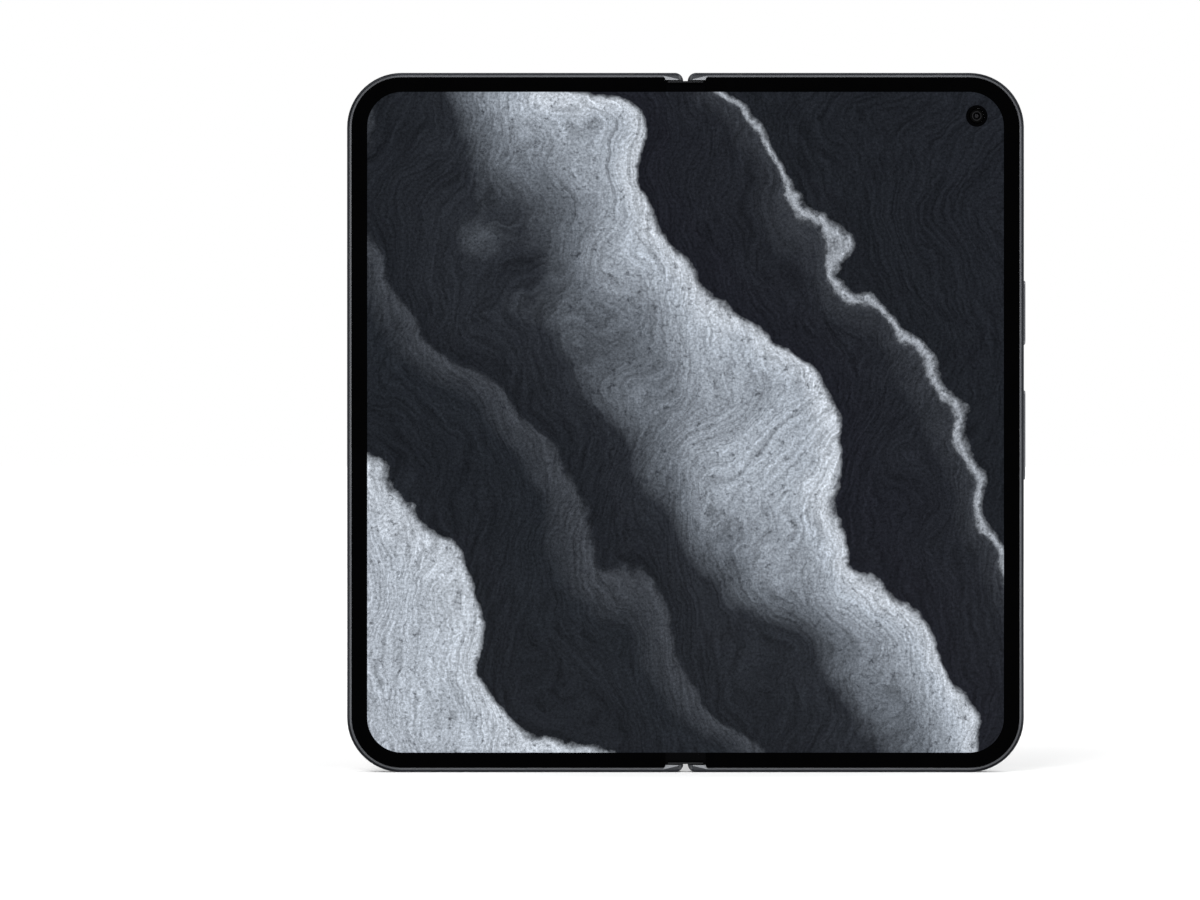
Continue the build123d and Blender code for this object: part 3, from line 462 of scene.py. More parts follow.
@dataclass(frozen=True)
class ScreenFinish:
    """The inner display: a lit, generic design of layered slate ridges in pale and dark tones.

    The pattern lies on the piece's own map, so that it can bend with the display.
    The border of the display is printed black.

    Attributes:
        name: the material's name.
        map_name: name of the map that the pattern lies on.
        border_bottom, border_top: heights of the black border.
        camera_mask: radius of the black print round the camera.
        roughness: middle value of the roughness.
        slow_noise, quick_noise: what bends the ridges: cell size, detail and roughness.
        slow_reach, quick_reach: how far each of them pushes.
        slope: how fast the ridges follow each other along x and z.
        grain_noise, grain_tone: the fine grain and its brightness.
        streak_noise, streak_tone: the streaks along the ridges and their brightness.
        streak_turn, streak_stretch: their direction in radians, and how drawn out they are.
        dent_noise, dent_reach: the dark dents, and how far they are pushed about.
        dent_range: values of their noise between which they fade in.
        dent_share, dent_tone: how far they cover the rest, and their colour.
        smear_size, smear_gloss: size of the smears, and their factors on the roughness.
        bands: the ridges, as places on a ramp with a colour each.
    """

    name: str = "display_lit"
    map_name: str = "screen_map"
    border_bottom: float = 4.39
    border_top: float = 4.27
    camera_mask: float = 2.4
    roughness: float = 0.09
    slow_noise: Noise = (60.0, 2, 0.5)
    slow_reach: float = 74.0
    quick_noise: Noise = (11.0, 6, 0.6)
    quick_reach: float = 9.0
    slope: tuple[float, float, float] = (0.0041, 0.00287, 0)
    grain_noise: Noise = (0.62, 4, 0.75)
    grain_tone: tuple[float, float] = (0.45, 1.55)
    streak_noise: Noise = (1.1, 4, 0.65)
    streak_tone: tuple[float, float] = (0.55, 1.45)
    streak_turn: float = 0.96
    streak_stretch: float = 0.14
    dent_noise: Noise = (1.9, 5, 0.7)
    dent_reach: float = 3.0
    dent_range: tuple[float, float] = (0.56, 0.68)
    dent_share: float = 0.75
    dent_tone: Colour = (0.014, 0.016, 0.022)
    smear_size: float = 14.0
    smear_gloss: tuple[float, float] = (0.8, 1.3)
    bands: tuple[tuple[float, Colour], ...] = (
        (0.00, (0.383, 0.418, 0.470)), (1.00, (0.014, 0.016, 0.021)), (0.14, (0.435, 0.479, 0.539)),
        (0.190, (0.522, 0.566, 0.626)), (0.198, (0.012, 0.014, 0.018)), (0.31, (0.015, 0.018, 0.023)),
        (0.365, (0.051, 0.057, 0.068)), (0.372, (0.012, 0.014, 0.018)), (0.45, (0.020, 0.023, 0.029)),
        (0.50, (0.139, 0.157, 0.183)), (0.56, (0.400, 0.444, 0.505)), (0.592, (0.557, 0.600, 0.661)),
        (0.60, (0.011, 0.012, 0.017)), (0.70, (0.015, 0.017, 0.022)), (0.738, (0.034, 0.038, 0.046)),
        (0.745, (0.435, 0.470, 0.522)), (0.752, (0.012, 0.014, 0.018)),
    )

    def ridges(self, graph: SurfaceGraph, place: Socket) -> Socket:
        """The design: ridge lines with a pale crest that fades into the dark below.

        Args:
            graph: the material.
            place: coordinates in millimetres from the middle of the display.

        Returns:
            The colour to show.
        """
        slow = graph.noise(place, *self.slow_noise, "Color")
        quick = graph.noise(place, *self.quick_noise, "Color")
        bent = self.moved(graph, place, slow, self.slow_reach)
        bent = self.moved(graph, bent, quick, self.quick_reach)
        share = graph.math("ADD", graph.vector("DOT_PRODUCT", bent, self.slope, result="Value"), 0.5)
        bands = graph.ramp(share, self.bands)
        grains = graph.noise(place, *self.grain_noise)
        flecks = graph.noise(self.moved(graph, place, quick, self.dent_reach), *self.dent_noise)
        combed = graph.node("Mapping", bent, None, (0, 0, self.streak_turn), (1.0, self.streak_stretch, 1.0))
        streaks = graph.noise(combed.outputs[0], *self.streak_noise)
        texture = graph.math(
            "MULTIPLY", graph.spread(grains, *self.grain_tone), graph.spread(streaks, *self.streak_tone)
        )
        dents = graph.remap(flecks, *self.dent_range, 0.0, self.dent_share)
        return graph.mix(dents, self.dimmed(graph, bands, texture), tinted(self.dent_tone))

    def moved(self, graph: SurfaceGraph, place: Socket, noise: Socket, reach: float) -> Socket:
        """The place, pushed about by a noise colour, by up to half of reach."""
        shift = graph.vector("ADD", noise, (-0.5, -0.5, 0))
        return graph.vector("ADD", place, graph.vector("MULTIPLY", shift, (reach, reach, 0)))

    def dimmed(self, graph: SurfaceGraph, colour: Socket, factor: Socket) -> Socket:
        """The colour times a factor."""
        grey = graph.node("CombineXYZ", factor, factor, factor).outputs[0]
        return graph.vector("MULTIPLY", colour, grey)

    def mask(self, graph: SurfaceGraph, place: Socket) -> Socket:
        """Where the display is lit: 0 on the border and round the camera, else 1.

        Args:
            graph: the material.
            place: as for the ridges.

        Returns:
            0 or 1.
        """
        height = graph.node("SeparateXYZ", place).outputs[1]
        low = graph.math("GREATER_THAN", height, self.border_bottom - PHONE_HEIGHT / 2)
        high = graph.math("LESS_THAN", height, PHONE_HEIGHT / 2 - self.border_top)
        camera = (INNER_CAMERA[0], INNER_CAMERA[1] - PHONE_HEIGHT / 2, 0)
        away = graph.vector("DISTANCE", place, camera, result="Value")
        clear = graph.math("GREATER_THAN", away, self.camera_mask)
        return graph.math("MULTIPLY", graph.math("MULTIPLY", low, high), clear)

    def material(self) -> bpy.types.Material:
        """Build the display's material.

        Returns:
            The material.
        """
        graph = SurfaceGraph(self.name)
        source = graph.node("UVMap", uv_map=self.map_name).outputs[0]
        place = graph.node(
            "Mapping", source, (-PHONE_WIDTH / 2, -PHONE_HEIGHT / 2, 0), None, (PHONE_WIDTH, PHONE_HEIGHT, 1)
        ).outputs[0]
        smears = graph.noise(place, self.smear_size, 4)
        clean, smeared = (self.roughness * factor for factor in self.smear_gloss)
        graph.set(
            Base_Color=(0.001, 0.001, 0.0012, 1), Specular_IOR_Level=0.02, Coat_Weight=0.0,
            Emission_Color=self.dimmed(graph, self.ridges(graph, place), self.mask(graph, place)),
            Emission_Strength=1.0, Roughness=graph.spread(smears, clean, smeared),
        )
        return graph.material


@dataclass(frozen=True)
class BandFinish:
    """The anodised band, with painted shade that darkens its rounded front edge, most at the corners.

    Attributes:
        name: the material's name.
        colour: base colour, linear.
        roughness: middle value of the roughness.
        round_tone: share of the colour that is left on the rounded front edge, a painted shade.
        corner_tone: share of that which is left at the corners, where the painted shade is deepest.
        round_fade: Y over which the painted shade of the front edge fades out, in millimetres.
        mottle, mottle_size: share by which the colour varies, and size of that variation.
        grain_depth: depth of the grains, in millimetres.
    """

    name: str = "band_graphite"
    colour: Colour = (0.050, 0.053, 0.061)
    roughness: float = 0.34
    round_tone: float = 0.62
    corner_tone: float = 0.45
    round_fade: tuple[float, float] = (-3.45, -3.22)
    mottle: float = 0.05
    mottle_size: float = 5.0
    grain_depth: float = 0.0008

    def material(self) -> bpy.types.Material:
        """Build the material; the painted shade follows the place on the band.

        Returns:
            The material.
        """
        graph = SurfaceGraph(self.name)
        place = graph.place_mm()
        across, depth, end = graph.on_phone(place)
        plain = graph.mottled(place, self.mottle_size, self.colour, self.mottle)
        # painted shade: the rounded front edge is darkened, and more so at the corners
        deep = graph.mix(
            graph.corner_share(across, end), tinted(self.colour, self.round_tone),
            tinted(self.colour, self.round_tone * self.corner_tone),
        )
        on_round = graph.remap(depth, *self.round_fade, 1.0, 0.0)
        graph.set(Base_Color=graph.mix(on_round, plain, deep), Metallic=1.0)
        graph.grained(Grain.BLASTED, FINE_GRAIN, self.grain_depth, self.roughness)
        return graph.material


@dataclass(frozen=True)
class FrontEdgeFinish:
    """The cut front edge of a frame, with painted light: a fine painted highlight line, and a painted
    highlight on the facet beside the notch.

    Attributes:
        name: the material's name.
        line: colour of the painted highlight line round the display, linear.
        shade: colour of the painted shade on the edge that goes round the notch's corner.
        facet: colour of the painted highlight on the facet between that edge and the display.
        corner_tone: share of the line's colour that is left at the phone's corners, a painted shade there.
        roughness: middle value of the roughness.
        facet_top: distance from the phone's end to the facet's outer end, in millimetres.
        facet_fall: slope at which the facet narrows towards the notch.
        facet_end: distance from the middle at which the facet ends.
        facet_fade: reach over which it gives way to the line.
        facet_blur: half the width over which its slanted edge is soft.
        black_from: distance from the phone's end at which the display's black border starts.
        grain_depth: depth of the grains, in millimetres.
    """

    name: str = "front_edge_cut"
    line: Colour = (0.155, 0.160, 0.172)
    shade: Colour = (0.070, 0.073, 0.080)
    facet: Colour = (0.400, 0.412, 0.434)
    corner_tone: float = 0.70
    roughness: float = 0.50
    facet_top: float = 0.66
    facet_fall: float = 0.235
    facet_end: float = 5.0
    facet_fade: float = 0.4
    facet_blur: float = 0.04
    black_from: float = 1.62
    grain_depth: float = 0.0006

    def material(self) -> bpy.types.Material:
        """Build the material; the painted highlights and shade follow the distances from the middle and from
        the ends.

        Returns:
            The material.
        """
        graph = SurfaceGraph(self.name)
        place = graph.place_mm()
        across, _, end = graph.on_phone(place)
        # painted highlight on the facet beside the notch, and painted shade on the edge round the notch's
        # corner
        fall = graph.math("MULTIPLY", graph.math("SUBTRACT", self.facet_end, across), self.facet_fall)
        inside = graph.math("SUBTRACT", end, graph.math("ADD", fall, self.facet_top))
        on_facet = graph.remap(inside, -self.facet_blur, self.facet_blur, 0.0, 1.0)
        by_hinge = graph.mix(on_facet, tinted(self.shade), tinted(self.facet))
        # painted highlight line, darkened at the phone's corners as a painted shade
        line = graph.mix(
            graph.corner_share(across, end), tinted(self.line), tinted(self.line, self.corner_tone)
        )
        along = graph.remap(across, self.facet_end - self.facet_fade, self.facet_end, 0.0, 1.0)
        border = graph.math(
            "MULTIPLY", graph.math("GREATER_THAN", end, self.black_from),
            graph.math("LESS_THAN", across, self.facet_end),
        )
        bare = graph.mix(along, by_hinge, line)
        graph.set(Base_Color=graph.mix(border, bare, BLACK_PRINT), Metallic=1.0)
        graph.grained(Grain.BLASTED, FINE_GRAIN, self.grain_depth, self.roughness)
        return graph.material


AnyFinish = Finish | ClearFinish | ScreenFinish | BandFinish | FrontEdgeFinish


@functools.cache
def dressed(finish: AnyFinish) -> bpy.types.Material:
    """The material of a finish, built once."""
    return finish.material()


BAND = BandFinish()
FRONT_EDGE = FrontEdgeFinish()
MILLED = Finish("frame_milled", (0.10, 0.103, 0.11), 0.50, 1.0, grain_depth=0.003, grain_size=0.3)
BREAK = Finish(
    "break_resin", (0.011, 0.012, 0.014), 0.46, specular=0.3, grain=Grain.MOULDED, grain_size=0.15,
    grain_depth=0.002,
)
# painted highlight: the flat fronts of the black breaks are painted light, so that the front edge's highlight
# line runs on over them
BREAK_HIGHLIGHT = Finish(
    "break_resin_front", (0.085, 0.088, 0.097), 0.40, grain=Grain.MOULDED, grain_depth=0.001
)
KEY_METAL = Finish("key_graphite", (0.165, 0.169, 0.182), 0.30, 1.0, grain=Grain.BRUSHED, grain_size=0.05)
BEZEL = Finish(
    "bezel_black", (0.0004, 0.0004, 0.0005), 0.38, specular=0.01, grain=Grain.MOULDED, grain_size=0.2,
    grain_depth=0.0006, mottle=0.2,
)
# painted highlight: the fine lighter line on the front of the fold's lips
LIP_HIGHLIGHT = Finish("fold_edge_rubber", (0.020, 0.021, 0.023), 0.36, specular=0.3, grain=Grain.MOULDED)
COVER_GLASS = Finish(
    "cover_glass_black", (0.0022, 0.0023, 0.0027), 0.07, specular=0.32, grain=Grain.SMOOTH,
    grain_size=9.0, grain_depth=0.0, mottle=0.15, mottle_size=30.0,
)
BACK_GLASS = Finish(
    "back_glass_etched", (0.036, 0.039, 0.046), 0.38, specular=0.55, grain_size=0.07, grain_depth=0.0014,
    mottle=0.04, mottle_size=25.0,
)
ISLAND = Finish("island_graphite", (0.112, 0.117, 0.130), 0.27, 1.0, grain_size=0.08, grain_depth=0.0008)
RING = Finish("ring_polished", (0.20, 0.207, 0.225), 0.16, 1.0, grain=Grain.SMOOTH, grain_depth=0.0003)
BARREL = Finish("barrel_black", (0.006, 0.006, 0.007), 0.5, specular=0.3, grain_depth=0.002)
LENS = Finish(
    "lens_element", (0.008, 0.005, 0.020), 0.05, specular=0.35, grain=Grain.SMOOTH, grain_size=2.0,
    grain_depth=0.0, mottle=0.4, mottle_size=2.0,
)
DEEP_BARREL = Finish("barrel_flocked", (0.0010, 0.0010, 0.0011), 0.6, specular=0.02, grain_depth=0.001)
DEEP_LENS = Finish(
    "small_lens_element", (0.004, 0.004, 0.006), 0.10, specular=0.22, grain=Grain.SMOOTH,
    grain_size=1.0, grain_depth=0.0, mottle=0.4, mottle_size=1.0,
)
DEEP_RING = Finish("small_lens_ring", (0.011, 0.011, 0.012), 0.5, specular=0.1, grain_depth=0.0005)
SPINE = Finish("spine_satin", (0.16, 0.165, 0.178), 0.26, 1.0, grain=Grain.BRUSHED, grain_size=0.05)
STEEL = Finish("steel_machined", (0.50, 0.51, 0.53), 0.34, 1.0, grain=Grain.BRUSHED, grain_size=0.08)
SPRING = Finish("spring_steel_satin", (0.40, 0.41, 0.43), 0.38, 1.0, grain=Grain.BRUSHED, grain_size=0.1)
BLACK_PLASTIC = Finish("plastic_black", (0.022, 0.022, 0.024), 0.5, grain=Grain.MOULDED, grain_depth=0.003)
LAMINATE = Finish(
    "board_solder_mask", (0.012, 0.045, 0.075), 0.36, coat=0.3, grain=Grain.MOULDED, mottle=0.2,
    mottle_size=1.2,
)
POUCH = Finish(
    "cell_foil_pouch", (0.075, 0.076, 0.084), 0.42, grain=Grain.MOULDED, grain_size=1.4, grain_depth=0.02
)
COPPER = Finish("copper_wound", (0.72, 0.40, 0.24), 0.30, 1.0, grain=Grain.BRUSHED)
FERRITE = Finish("ferrite_pressed", (0.060, 0.055, 0.054), 0.62, grain_size=0.3, grain_depth=0.006)
FLEX = Finish("flex_polyimide", (0.42, 0.24, 0.055), 0.34, coat=0.3, grain=Grain.MOULDED, mottle=0.12)
GOLD = Finish("contact_gold", (0.83, 0.58, 0.24), 0.25, 1.0, grain=Grain.SMOOTH)
NICKEL = Finish("magnet_nickel", (0.58, 0.56, 0.52), 0.30, 1.0, grain_depth=0.002)
TRAY = Finish("tray_graphite", (0.075, 0.079, 0.089), 0.32, 1.0, grain_size=0.09, grain_depth=0.0012)
CARD = Finish("card_white", (0.74, 0.74, 0.72), 0.45, grain=Grain.MOULDED, mottle=0.02)
USB_STEEL = Finish("usb_steel", (0.36, 0.37, 0.39), 0.30, 1.0, grain=Grain.BRUSHED, grain_size=0.05)
PHOSPHOR = Finish("flash_phosphor", (0.80, 0.66, 0.22), 0.45, grain=Grain.MOULDED, mottle=0.08)
GAUZE = Finish("gauze_black", (0.05, 0.05, 0.055), 0.4, 0.6, grain=Grain.SMOOTH)
WINDOW = ClearFinish("window_coated", (0.86, 0.89, 0.95), coat=0.0, bending=1.16)
FLASH_LENS = ClearFinish("flash_lens_clear", (0.95, 0.93, 0.86), 0.08)
SCREEN = ScreenFinish()


# ---------------------------------------------------------------- mesh making
def arc(cx: float, cz: float, radius: float, start: float, end: float, steps: int) -> Loop:
    """Points on an arc.

    Args:
        cx, cz: its centre.
        radius: its radius.
        start, end: angles in degrees, anticlockwise from +x.
        steps: number of straight steps.

    Returns:
        steps + 1 points.
    """
    turns = [math.radians(start + (end - start) * i / steps) for i in range(steps + 1)]
    return [(cx + radius * math.cos(t), cz + radius * math.sin(t)) for t in turns]


def circle(cx: float, cz: float, radius: float, steps: int = 48) -> Loop:
    """A closed circle."""
    return arc(cx, cz, radius, 0, 360, steps)[:-1]


def linked(name: str, data: bpy.types.ID) -> bpy.types.Object:
    """A new object of the data, in the scene.

    Args:
        name: its name.
        data: mesh, light or camera.

    Returns:
        The object.
    """
    made = bpy.data.objects.new(name, data)
    bpy.context.scene.collection.objects.link(made)
    return made


def evaluated_mesh(item: bpy.types.Object) -> bpy.types.Mesh:
    """A plain mesh of what an object's modifiers make.

    Args:
        item: the object.

    Returns:
        The mesh.
    """
    bpy.context.view_layer.update()
    evaluated = item.evaluated_get(bpy.context.evaluated_depsgraph_get())
    return bpy.data.meshes.new_from_object(evaluated)


class Workpiece:
    """A mesh being made, with vertices at (x, depth, z) in millimetres."""

    def __init__(self) -> None:
        """Start with nothing."""
        self.bm = bmesh.new()

    @classmethod
    def from_node(cls, node: str) -> "Workpiece":
        """A copy of a CAD node's mesh, with its doubled corners merged.

        Args:
            node: the node's name.

        Returns:
            The copy, in millimetres.
        """
        piece = cls()
        piece.bm.from_mesh(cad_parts[node].data)
        for vert in piece.bm.verts:
            vert.co = Vector((vert.co.x / MM, vert.co.y / MM - FRONT_PLANE, vert.co.z / MM))
        bmesh.ops.remove_doubles(piece.bm, verts=piece.bm.verts, dist=MERGE_MM)
        return piece

    def prism(self, loops: Sequence[Loop], near: float, far: float) -> None:
        """Extrude flat outlines over a range of depths.

        Args:
            loops: the outer outline in x and z, then any holes.
            near, far: the depths of its front and back.
        """
        rims: dict[float, list[bmesh.types.BMEdge]] = {near: [], far: []}
        for loop in loops:
            rows = {d: [self.bm.verts.new((x, d, z)) for x, z in loop] for d in (near, far)}
            count = len(loop)
            for depth, row in rows.items():
                rims[depth] += [self.bm.edges.new((row[i], row[(i + 1) % count])) for i in range(count)]
            for i in range(count):
                j = (i + 1) % count
                self.bm.faces.new((rows[near][i], rows[near][j], rows[far][j], rows[far][i]))
        for edges in rims.values():
            bmesh.ops.triangle_fill(self.bm, use_beauty=True, edges=edges)

    def rings(self, rows: Sequence[Sequence[Sequence[float]]], capped: bool = True) -> None:
        """Join rings of points in order.

        Args:
            rows: rings of equal count, each point (x, depth, z); a ring of one point is a pole.
            capped: close the first and last ring with a face.
        """
        made = [[self.bm.verts.new(p) for p in row] for row in rows]
        for first, second in zip(made, made[1:]):
            count = max(len(first), len(second))
            for i in range(count):
                j = (i + 1) % count
                corners = [
                    first[i % len(first)], first[j % len(first)], second[j % len(second)],
                    second[i % len(second)],
                ]
                self.bm.faces.new(list(dict.fromkeys(corners)))
        if capped:
            for row in (made[0], made[-1]):
                if len(row) > 2:
                    self.bm.faces.new(row)

    def lathe(self, x: float, z: float, profile: Loop, closed: bool = False) -> None:
        """Turn a profile about an axis along the depth.

        Args:
            x, z: where the axis stands.
            profile: (radius, depth) pairs; radius 0 is a pole.
            closed: join the last pair to the first, as for a ring.
        """
        rows = []
        for radius, depth in [*profile, *(profile[:1] if closed else ())]:
            points = circle(x, z, radius, LATHE_STEPS) if radius > 0 else [(x, z)]
            rows.append([(px, depth, pz) for px, pz in points])
        self.rings(rows, capped=not closed)
        if closed:
            bmesh.ops.remove_doubles(self.bm, verts=self.bm.verts, dist=MERGE_MM / 4)

    def box(self, low: Sequence[float], high: Sequence[float]) -> None:
        """A block between two corners.

        Args:
            low, high: the corners, as (x, depth, z).
        """
        size = Vector(high) - Vector(low)
        matrix = Matrix.Translation((Vector(high) + Vector(low)) / 2) @ Matrix.Diagonal((*size, 1))
        bmesh.ops.create_cube(self.bm, size=1, matrix=matrix)

    def bevel(
        self, width: float, wanted: Callable[[bmesh.types.BMEdge], bool] = lambda edge: True
    ) -> None:
        """Round off sharp edges in two steps.

        Args:
            width: how far the rounding reaches.
            wanted: picks among the sharp edges.
        """
        self.outwards()
        edges = [
            e for e in self.bm.edges if e.is_manifold and e.calc_face_angle(0) > SHARP_EDGE and wanted(e)
        ]
        bmesh.ops.bevel(
            self.bm, geom=edges, offset=width, segments=2, profile=0.5, affect="EDGES", clamp_overlap=True
        )

    def cut(
        self, place: Sequence[float], way: Sequence[float], drop: bool = False
    ) -> list[bmesh.types.BMEdge]:
        """Cut the piece along a plane.

        Args:
            place: a point on the plane.
            way: the plane's normal.
            drop: take away the side that the normal points away from.

        Returns:
            The edges that lie on the cut.
        """
        made = bmesh.ops.bisect_plane(
            self.bm, geom=[*self.bm.verts, *self.bm.edges, *self.bm.faces], dist=CUT_MM, plane_co=place,
            plane_no=way, clear_inner=drop,
        )
        return [g for g in made["geom_cut"] if isinstance(g, bmesh.types.BMEdge)]

    def cut_columns(self, places: Iterable[float]) -> None:
        """Add edge lines at these x, so that the piece can bend there."""
        for x in places:
            self.cut((x, 0, 0), (1, 0, 0))

    def keep_half(self, half: Half) -> None:
        """Cut the piece at x = 0, keep one half and close the cut."""
        edges = [e for e in self.cut((0, 0, 0), (half.value, 0, 0), drop=True) if e.is_boundary]
        bmesh.ops.holes_fill(self.bm, edges=edges)

    def mirror(self) -> None:
        """Turn a piece that was drawn for the right half into the left one."""
        for vert in self.bm.verts:
            vert.co.x = -vert.co.x
        self.outwards()

    def outwards(self) -> None:
        """Make every face point outwards."""
        bmesh.ops.recalc_face_normals(self.bm, faces=self.bm.faces)

    def paint(self, index: int, wanted: Callable[[Vector, Vector], bool]) -> None:
        """Give the faces that wanted(centre, normal) picks the finish with this index.

        Args:
            index: place in the list of finishes.
            wanted: picks a face by its centre and normal.
        """
        for face in self.bm.faces:
            if wanted(face.calc_center_median(), face.normal):
                face.material_index = index

    @contextmanager
    def painting(self, index: int) -> Iterator[None]:
        """Give the faces that are made in the block the finish with this index.

        Args:
            index: place in the list of finishes.

        Returns:
            A context to make the faces in.
        """
        known = set(self.bm.faces)
        yield
        for face in self.bm.faces:
            if face not in known:
                face.material_index = index

    def map_flat(self, name: str) -> None:
        """Add a flat map from x and z, each running from 0 to 1 over the phone.

        Args:
            name: the map's name.
        """
        layer = self.bm.loops.layers.uv.new(name)
        for face in self.bm.faces:
            for corner in face.loops:
                x, _, z = corner.vert.co
                corner[layer].uv = (x / PHONE_WIDTH + 0.5, z / PHONE_HEIGHT)

    def finish(
        self, name: str, finishes: Sequence[AnyFinish], smoothing: Smoothing
    ) -> bpy.types.Object:
        """Turn the work into an object of the scene, in the row frame.

        Args:
            name: the piece's name.
            finishes: its finishes, in the order of the faces' indices.
            smoothing: what kind of piece it is, for its sharp edges.

        Returns:
            The finished object, with weighted normals.
        """
        self.outwards()
        for vert in self.bm.verts:
            x, depth, z = vert.co
            vert.co = Vector((x, FRONT_PLANE + depth, z)) * MM
        mesh = bpy.data.meshes.new(name)
        self.bm.to_mesh(mesh)
        self.bm.free()
        return weighted(name, mesh, finishes, smoothing)


def weighted(
    name: str, mesh: bpy.types.Mesh, finishes: Sequence[AnyFinish], smoothing: Smoothing
) -> bpy.types.Object:
    """An object of the mesh whose rounded edges shade into its flats.

    Args:
        name: the piece's name.
        mesh: its mesh, in the row frame.
        finishes: what its material slots hold.
        smoothing: what kind of piece it is, for its sharp edges.

    Returns:
        The object, with plain mesh data and no modifier.
    """
    for old in ("custom_normal", "sharp_face"):
        if old in mesh.attributes:
            mesh.attributes.remove(mesh.attributes[old])
    for finish in finishes:
        mesh.materials.append(dressed(finish))
    mesh.shade_smooth()
    mesh.set_sharp_from_angle(angle=math.radians(smoothing.value))
    piece = linked(name, mesh)
    piece.modifiers.new("weighted", "WEIGHTED_NORMAL").keep_sharp = True
    final = evaluated_mesh(piece)
    piece.modifiers.clear()
    piece.data = final
    final.name = name
    return piece


def seat(piece: bpy.types.Object, body: str, slot: str, *nodes: str) -> bpy.types.Object:
    """Let a piece ride on a body, and let it stand for CAD nodes.

    Args:
        piece: the piece.
        body: the body.
        slot: the record's material slot; not used.
        nodes: CAD nodes that it stands for.

    Returns:
        The piece.
    """
    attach(piece, body)
    if nodes:
        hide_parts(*nodes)
    log.info("%s: %d faces on %s", piece.name, len(piece.data.polygons), body)
    return piece


def dress_node(node: str, finish: AnyFinish) -> None:
    """Give a CAD node that stays in view its procedural finish.

    Args:
        node: the node's name.
        finish: its finish.
    """
    for material_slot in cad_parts[node].material_slots:
        material_slot.material = dressed(finish)
    log.info("%s: CAD piece in %s", node, finish.name)


# ---------------------------------------------------------------- geometry nodes
class GeometryTree(NodeGraph):
    """A Geometry Nodes tree with named inputs, turned into plain meshes."""

    def __init__(self, name: str) -> None:
        """Start a tree with an input geometry and an output geometry.

        Args:
            name: the tree's name.
        """
        super().__init__(bpy.data.node_groups.new(name, "GeometryNodeTree"))
        for way in ("INPUT", "OUTPUT"):
            self.tree.interface.new_socket("Geometry", in_out=way, socket_type="NodeSocketGeometry")
        self.entry = self.tree.nodes.new("NodeGroupInput")
        self.exit = self.tree.nodes.new("NodeGroupOutput")
        self.points = self.entry.outputs[0]
        self.identifiers: dict[str, str] = {}

    def input(self, name: str, kind: str = "Float") -> Socket:
        """Declare a named input and give its socket.

        Args:
            name: the input's name.
            kind: its type of socket.

        Returns:
            The socket.
        """
        made = self.tree.interface.new_socket(name, in_out="INPUT", socket_type=f"NodeSocket{kind}")
        self.identifiers[name] = made.identifier
        return self.entry.outputs[name]

    def node(self, kind: str, **inputs: object) -> Socket:
        """Add a node.

        Args:
            kind: its type, without "GeometryNode" for a geometry node.
            inputs: values or links by input name, underscores for spaces.

        Returns:
            The new node's first output.
        """
        prefix = "" if kind.startswith("Shader") else "GeometryNode"
        made = self.tree.nodes.new(prefix + kind)
        for name, value in inputs.items():
            self.put(made.inputs[name.replace("_", " ")], value)
        return made.outputs[0]

    def vector(self, x: object = 0.0, y: object = 0.0, z: object = 0.0) -> Socket:
        """A vector from three numbers or sockets."""
        return self.node("ShaderNodeCombineXYZ", X=x, Y=y, Z=z)

    def joined(self, *parts: Socket) -> Socket:
        """Several geometries as one.

        Args:
            parts: the geometries.

        Returns:
            All of them.
        """
        made = self.tree.nodes.new("GeometryNodeJoinGeometry")
        for part in parts:
            self.put(made.inputs[0], part)
        return made.outputs[0]

    def less(self, whole: Socket, tool: Socket) -> Socket:
        """The whole with the tool's shape cut out of it.

        Args:
            whole: what is cut.
            tool: what is taken away.

        Returns:
            The rest.
        """
        made = self.tree.nodes.new("GeometryNodeMeshBoolean")
        made.operation = "DIFFERENCE"
        return self.fill(made, (whole, tool)).outputs[0]

    def close(self, geometry: Socket) -> None:
        """End the tree: instances made real, then the material that it is given.

        Args:
            geometry: what the tree has made.
        """
        real = self.node("RealizeInstances", Geometry=geometry)
        dressed_mesh = self.node(
            "SetMaterial", Geometry=real, Material=self.input("Material", "Material")
        )
        self.put(self.exit.inputs[0], dressed_mesh)

    def grow(
        self, name: str, points: Sequence[Sequence[float]], values: dict[str, object],
        finish: Finish | ClearFinish,
    ) -> Workpiece:
        """Run the tree on a cloud of points.

        Args:
            name: name of the carrier object.
            points: places of the carrier's vertices, in millimetres as (x, depth, z).
            values: the tree's inputs by name.
            finish: what its pieces are made of.

        Returns:
            The pieces as a Workpiece, so that more can be added.
        """
        mesh = bpy.data.meshes.new(name)
        mesh.from_pydata([tuple(p) for p in points], [], [])
        carrier = linked(name, mesh)
        modifier = carrier.modifiers.new(name, "NODES")
        modifier.node_group = self.tree
        for key, value in {**values, "Material": dressed(finish)}.items():
            modifier[self.identifiers[key]] = value
        carrier.update_tag()
        grown = evaluated_mesh(carrier)
        modifier.node_group = None
        carrier.modifiers.clear()
        bpy.data.objects.remove(carrier, do_unlink=True)
        piece = Workpiece()
        piece.bm.from_mesh(grown)
        if not piece.bm.faces:
            raise RuntimeError(f"{name} grew no faces")
        return piece


@functools.cache
def plate_tree() -> GeometryTree:
    """Small blocks on given points: contacts and pads.

    Returns:
        The tree.
    """
    tree = GeometryTree("plates")
    cube = tree.node("MeshCube", Size=tree.input("Size", "Vector"))
    tree.close(tree.node("InstanceOnPoints", Points=tree.points, Instance=cube))
    return tree


@functools.cache
def disc_tree() -> GeometryTree:
    """Small level discs on given points: gauze.

    Returns:
        The tree.
    """
    tree = GeometryTree("discs")
    disc = tree.node(
        "MeshCylinder", Radius=tree.input("Radius"), Depth=tree.input("Thickness"), Vertices=DISC_STEPS
    )
    tree.close(tree.node("InstanceOnPoints", Points=tree.points, Instance=disc))
    return tree


